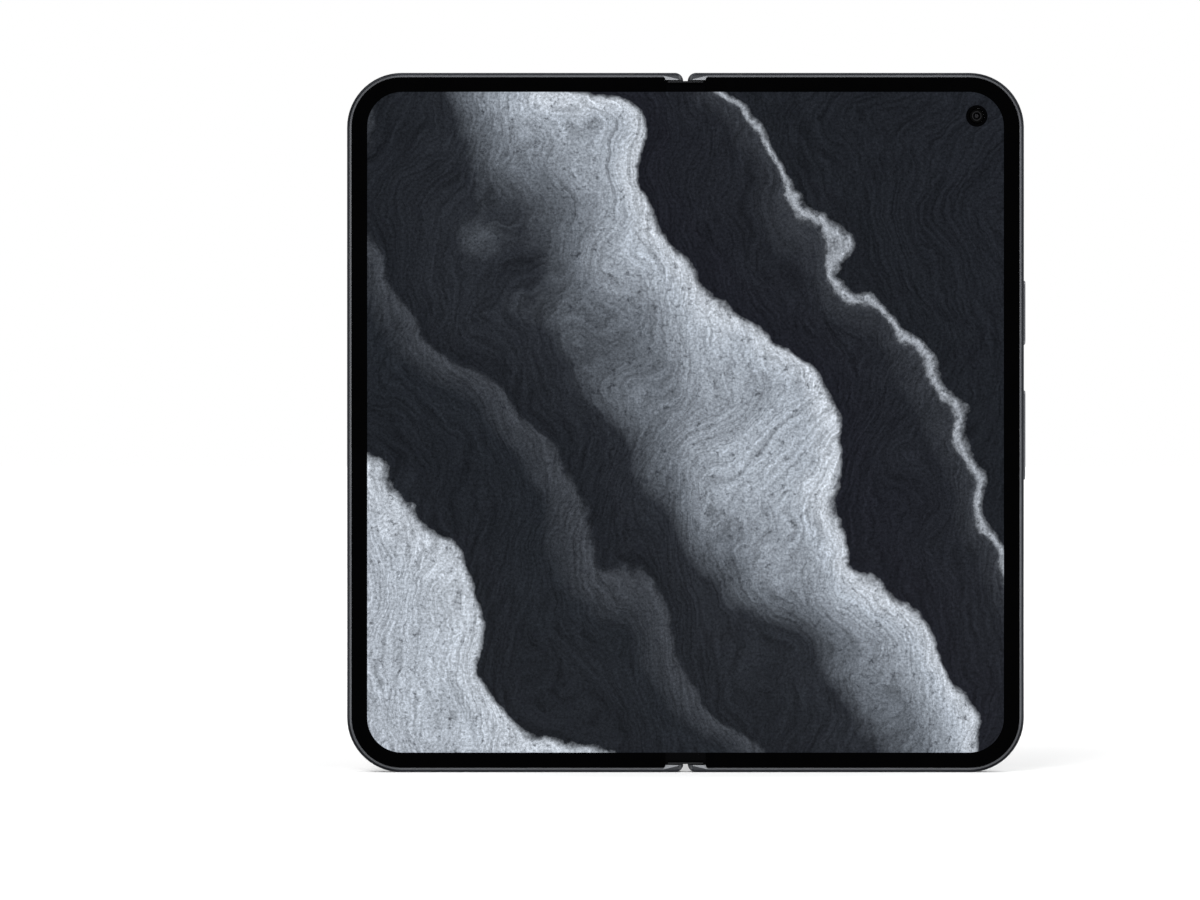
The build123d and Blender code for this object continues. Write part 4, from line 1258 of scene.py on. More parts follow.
@functools.cache
def ring_tree() -> GeometryTree:
    """Evenly spaced concentric rings round a point: steps in a lens barrel, a stepped lens.

    Returns:
        The tree.
    """
    tree = GeometryTree("rings")
    count, first = tree.input("Count", "Int"), tree.input("First radius")
    pitch, drop = tree.input("Pitch"), tree.input("Drop")
    line = tree.node("MeshLine", Count=count, Offset=(0, 0, 0))
    index = tree.node("InputIndex")
    radius = tree.math("ADD", first, tree.math("MULTIPLY", index, pitch))
    depth = tree.math("MULTIPLY", index, drop)
    moved = tree.node("SetPosition", Geometry=line, Offset=tree.vector(y=depth))
    unit = tree.node("CurvePrimitiveCircle", Resolution=RING_STEPS, Radius=1.0)
    placed = tree.node(
        "InstanceOnPoints", Points=moved, Instance=unit, Rotation=(math.pi / 2, 0, 0),
        Scale=tree.vector(radius, radius, radius),
    )
    real = tree.node("RealizeInstances", Geometry=placed)
    section = tree.node("CurvePrimitiveCircle", Resolution=WIRE_STEPS, Radius=tree.input("Wire radius"))
    swept = tree.node("CurveToMesh", Curve=real, Profile_Curve=section)
    tree.close(tree.node("Transform", Geometry=swept, Translation=tree.input("Centre", "Vector")))
    return tree


@functools.cache
def winding_tree() -> GeometryTree:
    """A flat winding of one wire.

    Returns:
        The tree.
    """
    tree = GeometryTree("winding")
    spiral = tree.node(
        "CurveSpiral", Resolution=TURN_STEPS, Rotations=tree.input("Turns"),
        Start_Radius=tree.input("Inner radius"), End_Radius=tree.input("Outer radius"), Height=0.0,
    )
    section = tree.node(
        "CurvePrimitiveQuadrilateral", Width=tree.input("Wire width"), Height=tree.input("Wire height")
    )
    swept = tree.node("CurveToMesh", Curve=spiral, Profile_Curve=section, Fill_Caps=True)
    tree.close(tree.node(
        "Transform", Geometry=swept, Translation=tree.input("Centre", "Vector"), Rotation=(math.pi / 2, 0, 0)
    ))
    return tree


@functools.cache
def screw_tree() -> GeometryTree:
    """Screws on given points, with a star-shaped recess; Way is 1 for heads to the front, else -1.

    Returns:
        The tree.
    """
    tree = GeometryTree("screws")
    head_r, head_t = tree.input("Head radius"), tree.input("Head height")
    shank_r, shank_l = tree.input("Shank radius"), tree.input("Shank length")
    turn = tree.math("MULTIPLY", tree.input("Way"), math.pi / 2)
    star_inner, star_outer, star_height = 0.36, 0.56, 1.2  # as shares of the head's radius and height
    head = tree.node("MeshCylinder", Vertices=HEAD_STEPS, Radius=head_r, Depth=head_t)
    star = tree.node(
        "CurveStar", Points=6, Inner_Radius=tree.math("MULTIPLY", head_r, star_inner),
        Outer_Radius=tree.math("MULTIPLY", head_r, star_outer),
    )
    filled = tree.node("FillCurve", Curve=star)
    raised = tree.node("ExtrudeMesh", Mesh=filled, Offset_Scale=tree.math("MULTIPLY", head_t, star_height))
    closed = tree.joined(raised, tree.node("FlipFaces", Mesh=filled))
    tool = tree.node("MergeByDistance", Geometry=closed, Distance=WELD_MM)
    shank = tree.node("MeshCylinder", Vertices=SHANK_STEPS, Radius=shank_r, Depth=shank_l)
    reach = tree.math("MULTIPLY", tree.math("ADD", head_t, shank_l), -0.5)
    lowered = tree.node("Transform", Geometry=shank, Translation=tree.vector(z=reach))
    screw = tree.joined(tree.less(head, tool), lowered)
    tree.close(tree.node(
        "InstanceOnPoints", Points=tree.points, Instance=screw, Rotation=tree.vector(turn)
    ))
    return tree


# ---------------------------------------------------------------- the phone
@dataclass(frozen=True)
class Body:
    """Sizes that more than one part of the phone needs.

    Attributes:
        half_width, height, corner_radius: the outer outline.
        fold_columns: distance between a bending sheet's edge lines.
        fold_reach: distance from the middle at which a sheet has joined its half.
        fold_margin: how much further out the edge lines go.
        fold_depth: depth of the line along which the sheets would be blended; not used.
    """

    half_width: float = PHONE_WIDTH / 2
    height: float = PHONE_HEIGHT
    corner_radius: float = CORNER_RADIUS
    fold_columns: float = 0.25
    fold_reach: float = 5.2
    fold_margin: float = 0.8
    fold_depth: float = 0.5

    def outline(self, inset: float, inner_x: float, steps: int = 24) -> Loop:
        """The right half's outline, inset, from inner_x outwards; the corners are round.

        Args:
            inset: how far it stays inside the phone's outline.
            inner_x: distance from the middle at which it starts.
            steps: straight steps of each corner.

        Returns:
            Its points, from the bottom up.
        """
        r = self.corner_radius - inset
        cx = self.half_width - self.corner_radius
        low, high = inset, self.height - inset
        return [
            (inner_x, low), *arc(cx, self.corner_radius, r, -90, 0, steps),
            *arc(cx, self.height - self.corner_radius, r, 0, 90, steps), (inner_x, high),
        ]

    def edge_distance(self, x: float, z: float) -> float:
        """How far a point stands inside the phone's outer outline.

        Args:
            x, z: the point.

        Returns:
            The distance, negative outside.
        """
        r = self.corner_radius
        dx = abs(x) - (self.half_width - r)
        dz = abs(z - self.height / 2) - (self.height / 2 - r)
        if dx > 0 and dz > 0:
            return r - math.hypot(dx, dz)
        return r - max(dx, dz)

    def columns(self) -> list[float]:
        """Places where a sheet over the hinge needs edge lines.

        Returns:
            Their x, on both sides of the middle.
        """
        count = round((self.fold_reach + self.fold_margin) / self.fold_columns)
        steps = [i * self.fold_columns for i in range(1, count + 1)]
        return [-x for x in steps] + steps


PHONE = Body()


def over_hinge(piece: bpy.types.Object, half: Half, slot: str, *nodes: str) -> bpy.types.Object:
    """Bake a half sheet's place into its mesh, and let it stand for CAD nodes; the sheet lies between the
    spine and its half.

    Args:
        piece: the sheet, which starts at x = 0.
        half: its half; not used.
        slot: the record's material slot; not used.
        nodes: CAD nodes that it stands for.

    Returns:
        The piece.
    """
    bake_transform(piece)
    if nodes:
        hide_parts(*nodes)
    log.info("%s: %d faces over the hinge", piece.name, len(piece.data.polygons))
    return piece


@dataclass
class MetalFrame:
    """One half's metal frame with the plastic breaks in its band.

    Attributes:
        half: which half it is.
        front_face: depth in front of which the front edge with its painted highlights lies.
        flat_facing: Y of the normal below which a face counts as looking forwards.
        skin: how far the outside reaches in from the outline.
        milled_depths: depths between which the milled inside lies.
    """

    half: Half
    front_face: float = 0.2
    flat_facing: float = -0.9995
    skin: float = 0.72
    milled_depths: tuple[float, float] = (0.2, 4.95)

    def build(self) -> None:
        """The frame with its satin outside, and the moulded breaks flush with it."""
        self.dress("frame", "machined", (BAND, FRONT_EDGE, MILLED), "frame_metal")
        self.dress("antenna_inserts", "moulded", (BREAK, BREAK_HIGHLIGHT), "insert_plastic")

    def is_front(self, centre: Vector, normal: Vector) -> bool:
        """Whether a face is part of the front edge that carries the painted highlights."""
        return normal.y < self.flat_facing and centre.y < self.front_face

    def is_inside(self, centre: Vector, normal: Vector) -> bool:
        """Whether a face is milled and hidden inside; only its centre counts."""
        near, far = self.milled_depths
        return PHONE.edge_distance(*centre.xz) > self.skin and near < centre.y < far

    def dress(self, ending: str, made_how: str, finishes: Sequence[AnyFinish], slot: str) -> None:
        """Make one of the band's two pieces.

        Args:
            ending: the end of its CAD node's name.
            made_how: the word that its own name ends with.
            finishes: its outside, its front edge with its painted highlights and, where it has one, its
                milled inside.
            slot: the record's material slot.
        """
        node = self.half.node(ending)
        piece = Workpiece.from_node(node)
        piece.outwards()
        if len(finishes) > 2:
            piece.paint(2, self.is_inside)
        # the flat front faces take the finish with painted highlights
        piece.paint(1, self.is_front)
        seat(piece.finish(f"{node}_{made_how}", finishes, Smoothing.CAD), self.half.body, slot, node)


@dataclass
class InnerDisplay:
    """The flexible display, its slotted backing and the rubber lips at the ends of the fold.

    Attributes:
        inset: how far the display stays inside the outline.
        notch_reach: half the width over which the display is cut back at both ends of the fold.
        notch_top: how far it is cut back there.
        near, far: depths of its front and back.
        camera_r: radius of the hole for the inner camera.
        lip_reach: half the length of a lip.
        lip_low, lip_high: distances from the phone's end between which a lip lies.
        lip_near: depth of a lip's front.
        lip_edge: size of its rounded edges.
        line_low, line_high: distances from the phone's end between which the lip carries a painted highlight
            line.
    """

    inset: float = 1.05
    notch_reach: float = 5.0
    notch_top: float = 1.85
    near: float = 0.25
    far: float = 0.80
    camera_r: float = 1.70
    lip_reach: float = 3.9
    lip_low: float = 1.87
    lip_high: float = 2.60
    lip_near: float = 0.10
    lip_edge: float = 0.06
    line_low: float = 1.96
    line_high: float = 2.14

    def build(self) -> None:
        """Make both sheets, the backing, the ribbons and the lips."""
        for half in Half:
            self.sheet(half)
            self.split_node(half, "fold_lattice_plate", "spring_steel", SPRING)
            self.split_node(half, "hinge_flexes", "gold_flex", FLEX)
            self.lips(half)

    def sheet(self, half: Half) -> None:
        """One half of the display, from the middle of the fold to its outer edge.

        Args:
            half: the half.
        """
        low, high = self.notch_top, PHONE.height - self.notch_top
        outline = [
            (0, low), (self.notch_reach, low), *PHONE.outline(self.inset, self.notch_reach),
            (self.notch_reach, high), (0, high),
        ]
        loops, nodes = [outline], [f"display_{half.name.lower()}_panel"]
        if half is Half.RIGHT:
            loops.append(circle(*INNER_CAMERA, self.camera_r, 64))
            nodes.append("display_fold_strip")
        piece = Workpiece()
        piece.prism(loops, self.near, self.far)
        if half is Half.LEFT:
            piece.mirror()
        piece.cut_columns(PHONE.columns())
        piece.map_flat(SCREEN.map_name)
        made = piece.finish(half.node("display_sheet"), (SCREEN,), Smoothing.PLAIN)
        over_hinge(made, half, "display_film", *nodes)

    def split_node(self, half: Half, node: str, slot: str, finish: Finish) -> None:
        """A CAD piece that crosses the hinge, halved and cut into columns so that it can bend there.

        Args:
            half: the half to make.
            node: the piece's CAD node.
            slot: the record's material slot.
            finish: its finish.
        """
        piece = Workpiece.from_node(node)
        piece.keep_half(half)
        piece.cut_columns(PHONE.columns())
        made = piece.finish(f"{node}_{half.name.lower()}", (finish,), Smoothing.CAD)
        over_hinge(made, half, slot, node)

    def is_lip_edge(self, edge: bmesh.types.BMEdge) -> bool:
        """Whether a lip's edge lies on its front and not on the cut in the middle."""
        on_front = all(v.co.y < self.near - 0.01 for v in edge.verts)
        return on_front and any(abs(v.co.x) > 0.01 for v in edge.verts)

    def is_bare(self, centre: Vector, normal: Vector) -> bool:
        """Whether a lip's face belongs to the fine painted highlight line on its front."""
        end = PHONE.height / 2 - abs(centre.z - PHONE.height / 2)
        return normal.y < -0.5 and self.line_low < end < self.line_high

    def lips(self, half: Half) -> None:
        """Thin rubber lips along the ends of the fold.

        Args:
            half: the half.
        """
        piece = Workpiece()
        left, right = sorted((0, half.value * self.lip_reach))
        for low, high in (
            (self.lip_low, self.lip_high), (PHONE.height - self.lip_high, PHONE.height - self.lip_low)
        ):
            piece.box((left, self.lip_near, low), (right, self.near, high))
        piece.bevel(self.lip_edge, self.is_lip_edge)
        piece.cut_columns(PHONE.columns())
        for end in (self.line_low, self.line_high):
            for z in (end, PHONE.height - end):
                piece.cut((0, 0, z), (0, 0, 1))
        piece.outwards()
        # painted highlight line on the lip's front
        piece.paint(1, self.is_bare)
        made = piece.finish(half.node("fold_edge_strips"), (BEZEL, LIP_HIGHLIGHT), Smoothing.EDGED)
        over_hinge(made, half, "bezel_rubber")


@dataclass
class SmallCamera:
    """A front-facing camera under glass: a box with a short barrel and one small lens.

    Attributes:
        node: the CAD node that it stands for.
        body: the body that it rides on.
        x, z: where its axis stands.
        tip: depth of the barrel's end.
        shoulder: depth where barrel and box meet.
        base: depth of the box's far face.
        box, box_edge: size of the box and of its rounded edges.
        barrel_r, barrel_edge: radius of the barrel and size of its chamfer.
        lens_r, lens_sink: radius of the lens, and how far its rim lies behind the barrel's end.
        cup_gaps: gap between the lens and the cup round it, at the cup's mouth and foot.
        cup_lap: how far the cup's floor reaches under the lens, and how far it falls there.
        crown: the lens's front, as radii with a height over its rim.
        lens_t: thickness of the lens at its rim.
        ring_r, ring_width, ring_rise, ring_root: the ring round the lens.
    """

    node: str
    body: str
    x: float
    z: float
    tip: float
    shoulder: float
    base: float
    box: float = 6.0
    box_edge: float = 0.2
    barrel_r: float = 1.5
    barrel_edge: float = 0.06
    lens_r: float = 0.48
    lens_sink: float = 0.32
    cup_gaps: tuple[float, float] = (0.20, 0.14)
    cup_lap: float = 0.02
    crown: tuple[tuple[float, float], ...] = ((0, 0.16), (0.16, 0.145), (0.32, 0.1), (0.48, 0))
    lens_t: float = 0.1
    ring_r: float = 0.95
    ring_width: float = 0.10
    ring_rise: float = 0.03
    ring_root: float = 0.01

    def build(self) -> None:
        """Make the camera."""
        piece = Workpiece()
        half = self.box / 2
        near, far = sorted((self.shoulder, self.base))
        piece.box((self.x - half, near, self.z - half), (self.x + half, far, self.z + half))
        piece.bevel(self.box_edge)
        self.turn(piece, self.barrel())
        piece.outwards()
        with piece.painting(1):
            self.turn(piece, self.lens())
        with piece.painting(2):
            self.turn(piece, self.ring(), closed=True)
        made = piece.finish(f"{self.node}_module", (DEEP_BARREL, DEEP_LENS, DEEP_RING), Smoothing.PLAIN)
        seat(made, self.body, "black_plastic", self.node)

    def turn(self, piece: Workpiece, profile: Loop, closed: bool = False) -> None:
        """Lathe a profile of radii and distances behind the barrel's end."""
        way = 1 if self.shoulder > self.tip else -1
        piece.lathe(self.x, self.z, [(r, self.tip + way * sink) for r, sink in profile], closed)

    def barrel(self) -> Loop:
        """The barrel, with the cup round the lens.

        Returns:
            Its profile.
        """
        length = abs(self.shoulder - self.tip)
        mouth, foot = (self.lens_r + gap for gap in self.cup_gaps)
        return [
            (0, length), (self.barrel_r, length), (self.barrel_r, self.barrel_edge),
            (self.barrel_r - self.barrel_edge, 0), (mouth, 0), (foot, self.lens_sink),
            (self.lens_r - self.cup_lap, self.lens_sink), (0, self.lens_sink + self.cup_lap),
        ]

    def lens(self) -> Loop:
        """The lens, from the crown round its rim to its back.

        Returns:
            Its profile.
        """
        back = self.lens_sink + self.lens_t
        front = [(r, self.lens_sink - rise) for r, rise in self.crown]
        return [*front, (self.lens_r, back), (0, back)]

    def ring(self) -> Loop:
        """The fine ring on the barrel's end.

        Returns:
            Its profile.
        """
        outer, inner = self.ring_width, self.ring_width / 2
        return [
            (self.ring_r - outer, self.ring_root), (self.ring_r - inner, -self.ring_rise),
            (self.ring_r + inner, -self.ring_rise), (self.ring_r + outer, self.ring_root),
        ]


@dataclass
class RearCamera:
    """A camera module of the rear group: box, barrel, stepped baffle and lens.

    Attributes:
        name: first word of its nodes' names.
        x, z: where its axis stands.
        box, box_edge: size of the box and of its rounded edges.
        barrel_r, barrel_edge: radius of the barrel and size of its chamfer.
        lens_r: radius of the lens.
        near, shoulder, end: depths of the box's front, of its back and of the barrel's end.
        rim: width of the barrel's flat end.
        cone_gap: gap between the lens and the foot of the cone round it.
        cone: how deep the cone goes.
        floor: how far the floor lies behind the barrel's end, at the lens's rim and under it.
        crown, bulge: how deep the lens's front lies, and how far it falls to its rim.
        lens_back: how deep the lens's back lies.
        lens_steps: rings of faces on the lens's front.
        baffle_steps, baffle_wire: number of fine steps on the cone, and their half thickness.
    """

    name: str
    x: float
    z: float
    box: float
    barrel_r: float
    lens_r: float
    near: float = 1.55
    shoulder: float = 5.55
    end: float = 7.05
    box_edge: float = 0.3
    barrel_edge: float = 0.1
    rim: float = 0.45
    cone_gap: float = 0.25
    cone: float = 0.7
    floor: tuple[float, float] = (0.72, 0.75)
    crown: float = 0.3
    bulge: float = 0.38
    lens_back: float = 0.8
    lens_steps: int = 6
    baffle_steps: int = 4
    baffle_wire: float = 0.05

    def build(self) -> None:
        """Make the module."""
        piece = Workpiece()
        half, r, end = self.box / 2, self.barrel_r, self.end
        piece.box((self.x - half, self.near, self.z - half), (self.x + half, self.shoulder, self.z + half))
        piece.bevel(self.box_edge)
        piece.lathe(self.x, self.z, [
            (0, self.shoulder), (r, self.shoulder), (r, end - self.barrel_edge),
            (r - self.barrel_edge, end), (r - self.rim, end),
            (self.lens_r + self.cone_gap, end - self.cone), (self.lens_r, end - self.floor[0]),
            (0, end - self.floor[1]),
        ])
        shares = [i / self.lens_steps for i in range(self.lens_steps + 1)]
        front = [(self.lens_r * s, end - self.crown - self.bulge * s ** 2) for s in shares]
        back = end - self.lens_back
        with piece.painting(1):
            piece.lathe(self.x, self.z, [*front, (self.lens_r, back), (0, back)])
        made = piece.finish(f"{self.name}_camera_module", (BARREL, LENS), Smoothing.PLAIN)
        seat(made, Half.RIGHT.body, "black_plastic", f"{self.name}_camera")
        self.baffle()

    def baffle(self) -> None:
        """Fine steps on the cone in front of the lens."""
        foot = self.lens_r + self.cone_gap
        pitch = (self.barrel_r - self.rim - foot) / (self.baffle_steps + 1)
        drop = self.cone / (self.baffle_steps + 1)
        rings = ring_tree().grow(f"{self.name}_baffle_carrier", [(0, 0, 0)], {
            "Count": self.baffle_steps, "First radius": foot + pitch, "Pitch": pitch, "Drop": drop,
            "Wire radius": self.baffle_wire, "Centre": (self.x, self.end - self.cone + drop, self.z),
        }, BARREL)
        made = rings.finish(f"{self.name}_baffle_rings", (BLACK_PLASTIC,), Smoothing.WIRE)
        seat(made, Half.RIGHT.body, "black_plastic")


@dataclass
class Flash:
    """The flash: a cup with a lamp in it, under a stepped lens.

    Attributes:
        x, z: where its axis stands.
        radius: radius of the cup.
        near, far: depths of the cup's foot and of its rim.
        edge: size of the chamfer round the rim.
        rim: width of the rim at the top.
        cup_r: how far the cup's floor stays inside the cup's radius.
        cup: how deep the cup is.
        lamp, lamp_t: half the width and the thickness of the lamp on the floor.
        lens_gap: how far the lens stays inside the cup's radius.
        lens_depths: how far its back and front lie behind the rim.
        steps, first_step, step_pitch, step_wire: the steps on the lens.
    """

    x: float = 62.6
    z: float = 130.0
    radius: float = 2.4
    near: float = 2.8
    far: float = 7.7
    edge: float = 0.08
    rim: float = 0.3
    cup_r: float = 0.34
    cup: float = 0.5
    lamp: float = 0.95
    lamp_t: float = 0.16
    lens_gap: float = 0.36
    lens_depths: tuple[float, float] = (0.26, 0.06)
    steps: int = 6
    first_step: float = 0.35
    step_pitch: float = 0.27
    step_wire: float = 0.045

    def build(self) -> None:
        """Make the cup with its lamp, the lens and the steps on it."""
        x, z, r = self.x, self.z, self.radius
        floor = self.far - self.cup
        cup = Workpiece()
        cup.lathe(x, z, [
            (0, self.near), (r, self.near), (r, self.far - self.edge), (r - self.edge, self.far),
            (r - self.rim, self.far), (r - self.cup_r, floor), (0, floor),
        ])
        w, top = self.lamp, floor + self.lamp_t
        with cup.painting(1):
            cup.box((x - w, floor, z - w), (x + w, top, z + w))
        self.seat(cup.finish("flash_cup", (CARD, PHOSPHOR), Smoothing.EDGED), "flash_unit")
        back, front = (self.far - depth for depth in self.lens_depths)
        lens = Workpiece()
        lens.lathe(x, z, [(0, back), (r - self.lens_gap, back), (r - self.lens_gap, front), (0, front)])
        self.seat(lens.finish("flash_lens", (FLASH_LENS,), Smoothing.EDGED))
        rings = ring_tree().grow("flash_step_carrier", [(0, 0, 0)], {
            "Count": self.steps, "First radius": self.first_step, "Pitch": self.step_pitch, "Drop": 0.0,
            "Wire radius": self.step_wire, "Centre": (x, front, z),
        }, FLASH_LENS)
        self.seat(rings.finish("flash_lens_steps", (FLASH_LENS,), Smoothing.WIRE))

    def seat(self, piece: bpy.types.Object, *nodes: str) -> None:
        """Let a piece of the flash ride on the right half."""
        seat(piece, Half.RIGHT.body, "flash_amber", *nodes)


@dataclass
class CameraGroup:
    """The rear camera group with its housing, rings, windows and flash."""

    modules: tuple[RearCamera, ...] = (
        RearCamera("main", 50.6, 130.0, 10.4, 3.9, 2.3),
        RearCamera("ultrawide", 50.6, 104.4, 9.2, 3.4, 1.7),
        RearCamera("telephoto", 62.6, 117.2, 9.2, 3.4, 1.9),
    )

    def build(self) -> None:
        """Make the modules and the flash, and dress the rest."""
        for module in self.modules:
            module.build()
        dress_node("camera_island", ISLAND)
        dress_node("lens_rings", RING)
        dress_node("lens_windows", WINDOW)
        Flash().build()


@dataclass
class CoverSide:
    """The left half's outside: black glass with a clear spot over its camera.

    Attributes:
        inset: how far the glass stays inside the outline.
        inner_x: distance from the middle at which it starts.
        inner_r: radius of its corners there.
        near, far: depths of its back and of its outer face.
        edge: size of its rounded outer edge.
        spot_x, spot_z, spot_r: the clear spot.
    """

    inset: float = 1.05
    inner_x: float = 4.95
    inner_r: float = 1.5
    near: float = 4.5
    far: float = 5.1
    edge: float = 0.08
    spot_x: float = -40.0
    spot_z: float = 147.6
    spot_r: float = 1.55

    def is_rim(self, edge: bmesh.types.BMEdge) -> bool:
        """Whether an edge of the glass lies on its outer face and away from the clear spot.

        Args:
            edge: the edge.

        Returns:
            True for such an edge.
        """
        return all(
            v.co.y > self.far - 0.01 and math.hypot(v.co.x + self.spot_x, v.co.z - self.spot_z) > 2
            for v in edge.verts
        )

    def build(self) -> None:
        """Make the glass, the clear spot and the camera under it."""
        r = self.inner_r
        low, high = self.inset, PHONE.height - self.inset
        outline = [
            *arc(self.inner_x + r, low + r, r, 180, 270, 8),
            *PHONE.outline(self.inset, self.inner_x + r)[1:-1],
            *arc(self.inner_x + r, high - r, r, 90, 180, 8),
        ]
        piece = Workpiece()
        piece.prism([outline, circle(-self.spot_x, self.spot_z, self.spot_r)], self.near, self.far)
        piece.bevel(self.edge, self.is_rim)
        piece.mirror()
        with piece.painting(1):
            piece.lathe(self.spot_x, self.spot_z, [
                (0, self.near), (self.spot_r, self.near), (self.spot_r, self.far), (0, self.far)
            ])
        made = piece.finish("cover_glass_pane", (COVER_GLASS, WINDOW), Smoothing.PANE)
        seat(made, Half.LEFT.body, "cover_glass_dark", "cover_glass")
        SmallCamera(
            "cover_camera", Half.LEFT.body, self.spot_x, self.spot_z, tip=4.45, shoulder=3.75, base=1.55
        ).build()


@dataclass
class Edges:
    """Small parts in the phone's ends: connector contacts, gauze and the card.

    Attributes:
        hole_depth: depth of the middle of the connector and of the holes.
        usb_x: x of the connector's middle.
        tongue_t: thickness of its tongue.
        contact_count, contact_pitch, contact_size, contact_z: the contacts of one row.
        grille_count, grille_pitch, grille_r: the round holes of one grille.
        speaker_x, earpiece_x: middles of the two grilles.
        mic_x, mic_r: the microphone's hole.
        gauze_sink, gauze_t: how far the gauze lies behind the phone's end, and its thickness.
        card_back: depth of the card's pads.
        card_x, card_z: where they are centred.
        pad_reach: x and z from there to the first pad, on either side.
        pad_rows: rows of pads, counted from the middle.
        pad_pitch: distance between the rows.
        pad_size: size of a pad.
    """

    hole_depth: float = 2.72
    usb_x: float = 37.55
    tongue_t: float = 0.70
    contact_count: int = 12
    contact_pitch: float = 0.50
    contact_size: tuple[float, float, float] = (0.26, 0.04, 2.6)
    contact_z: float = 2.6
    grille_count: int = 6
    grille_pitch: float = 1.70
    grille_r: float = 0.50
    speaker_x: float = 57.0
    earpiece_x: float = -60.0
    mic_x: float = 26.0
    mic_r: float = 0.45
    gauze_sink: float = 0.55
    gauze_t: float = 0.1
    card_back: float = 3.12
    card_x: float = -28.0
    card_z: float = 9.65
    pad_reach: float = 2.76
    pad_rows: tuple[float, ...] = (-1.5, -0.5, 0.5, 1.5)
    pad_pitch: float = 2.1
    pad_size: tuple[float, float, float] = (2.6, 0.03, 1.8)

    def build(self) -> None:
        """Make the small parts and dress the rest."""
        dress_node("usb_shell", USB_STEEL)
        dress_node("usb_tongue", BLACK_PLASTIC)
        self.contacts()
        bottom, top = self.gauze_sink, PHONE.height - self.gauze_sink
        self.gauze("speaker_gauze", Half.RIGHT, self.grille_row(self.speaker_x), bottom, self.grille_r)
        self.gauze("earpiece_gauze", Half.LEFT, self.grille_row(self.earpiece_x), top, self.grille_r)
        self.gauze("microphone_gauze", Half.RIGHT, [self.mic_x], bottom, self.mic_r)
        dress_node("sim_tray", TRAY)
        dress_node("sim_card", CARD)
        self.card_pads()

    def grille_row(self, middle: float) -> list[float]:
        """The x of each hole of a grille."""
        first = middle - (self.grille_count - 1) * self.grille_pitch / 2
        return [first + i * self.grille_pitch for i in range(self.grille_count)]

    def gauze(self, name: str, half: Half, places: Sequence[float], z: float, radius: float) -> None:
        """Discs of gauze inside round holes.

        Args:
            name: the piece's name.
            half: the half that it belongs to.
            places: the holes' x.
            z: the height of the gauze.
            radius: the holes' radius.
        """
        points = [(x, self.hole_depth, z) for x in places]
        sizes = {"Radius": radius, "Thickness": self.gauze_t}
        discs = disc_tree().grow(f"{name}_carrier", points, sizes, GAUZE)
        seat(discs.finish(name, (GAUZE,), Smoothing.BLOCK), half.body, "black_plastic")

    def contacts(self) -> None:
        """Two rows of gold contacts on the connector's tongue."""
        first = self.usb_x - (self.contact_count - 1) * self.contact_pitch / 2
        reach = self.tongue_t / 2 + self.contact_size[1] / 4
        points = [
            (first + i * self.contact_pitch, self.hole_depth + side * reach, self.contact_z)
            for side in (-1, 1) for i in range(self.contact_count)
        ]
        row = plate_tree().grow("contact_carrier", points, {"Size": self.contact_size}, GOLD)
        seat(row.finish("usb_contacts", (GOLD,), Smoothing.BLOCK), Half.RIGHT.body, "copper")

    def card_pads(self) -> None:
        """The card's eight contact pads."""
        points = [
            (self.card_x + side * self.pad_reach, self.card_back, self.card_z + row * self.pad_pitch)
            for side in (-1, 1) for row in self.pad_rows
        ]
        pads = plate_tree().grow("pad_carrier", points, {"Size": self.pad_size}, GOLD)
        seat(pads.finish("sim_card_pads", (GOLD,), Smoothing.BLOCK), "card_tray", "copper")


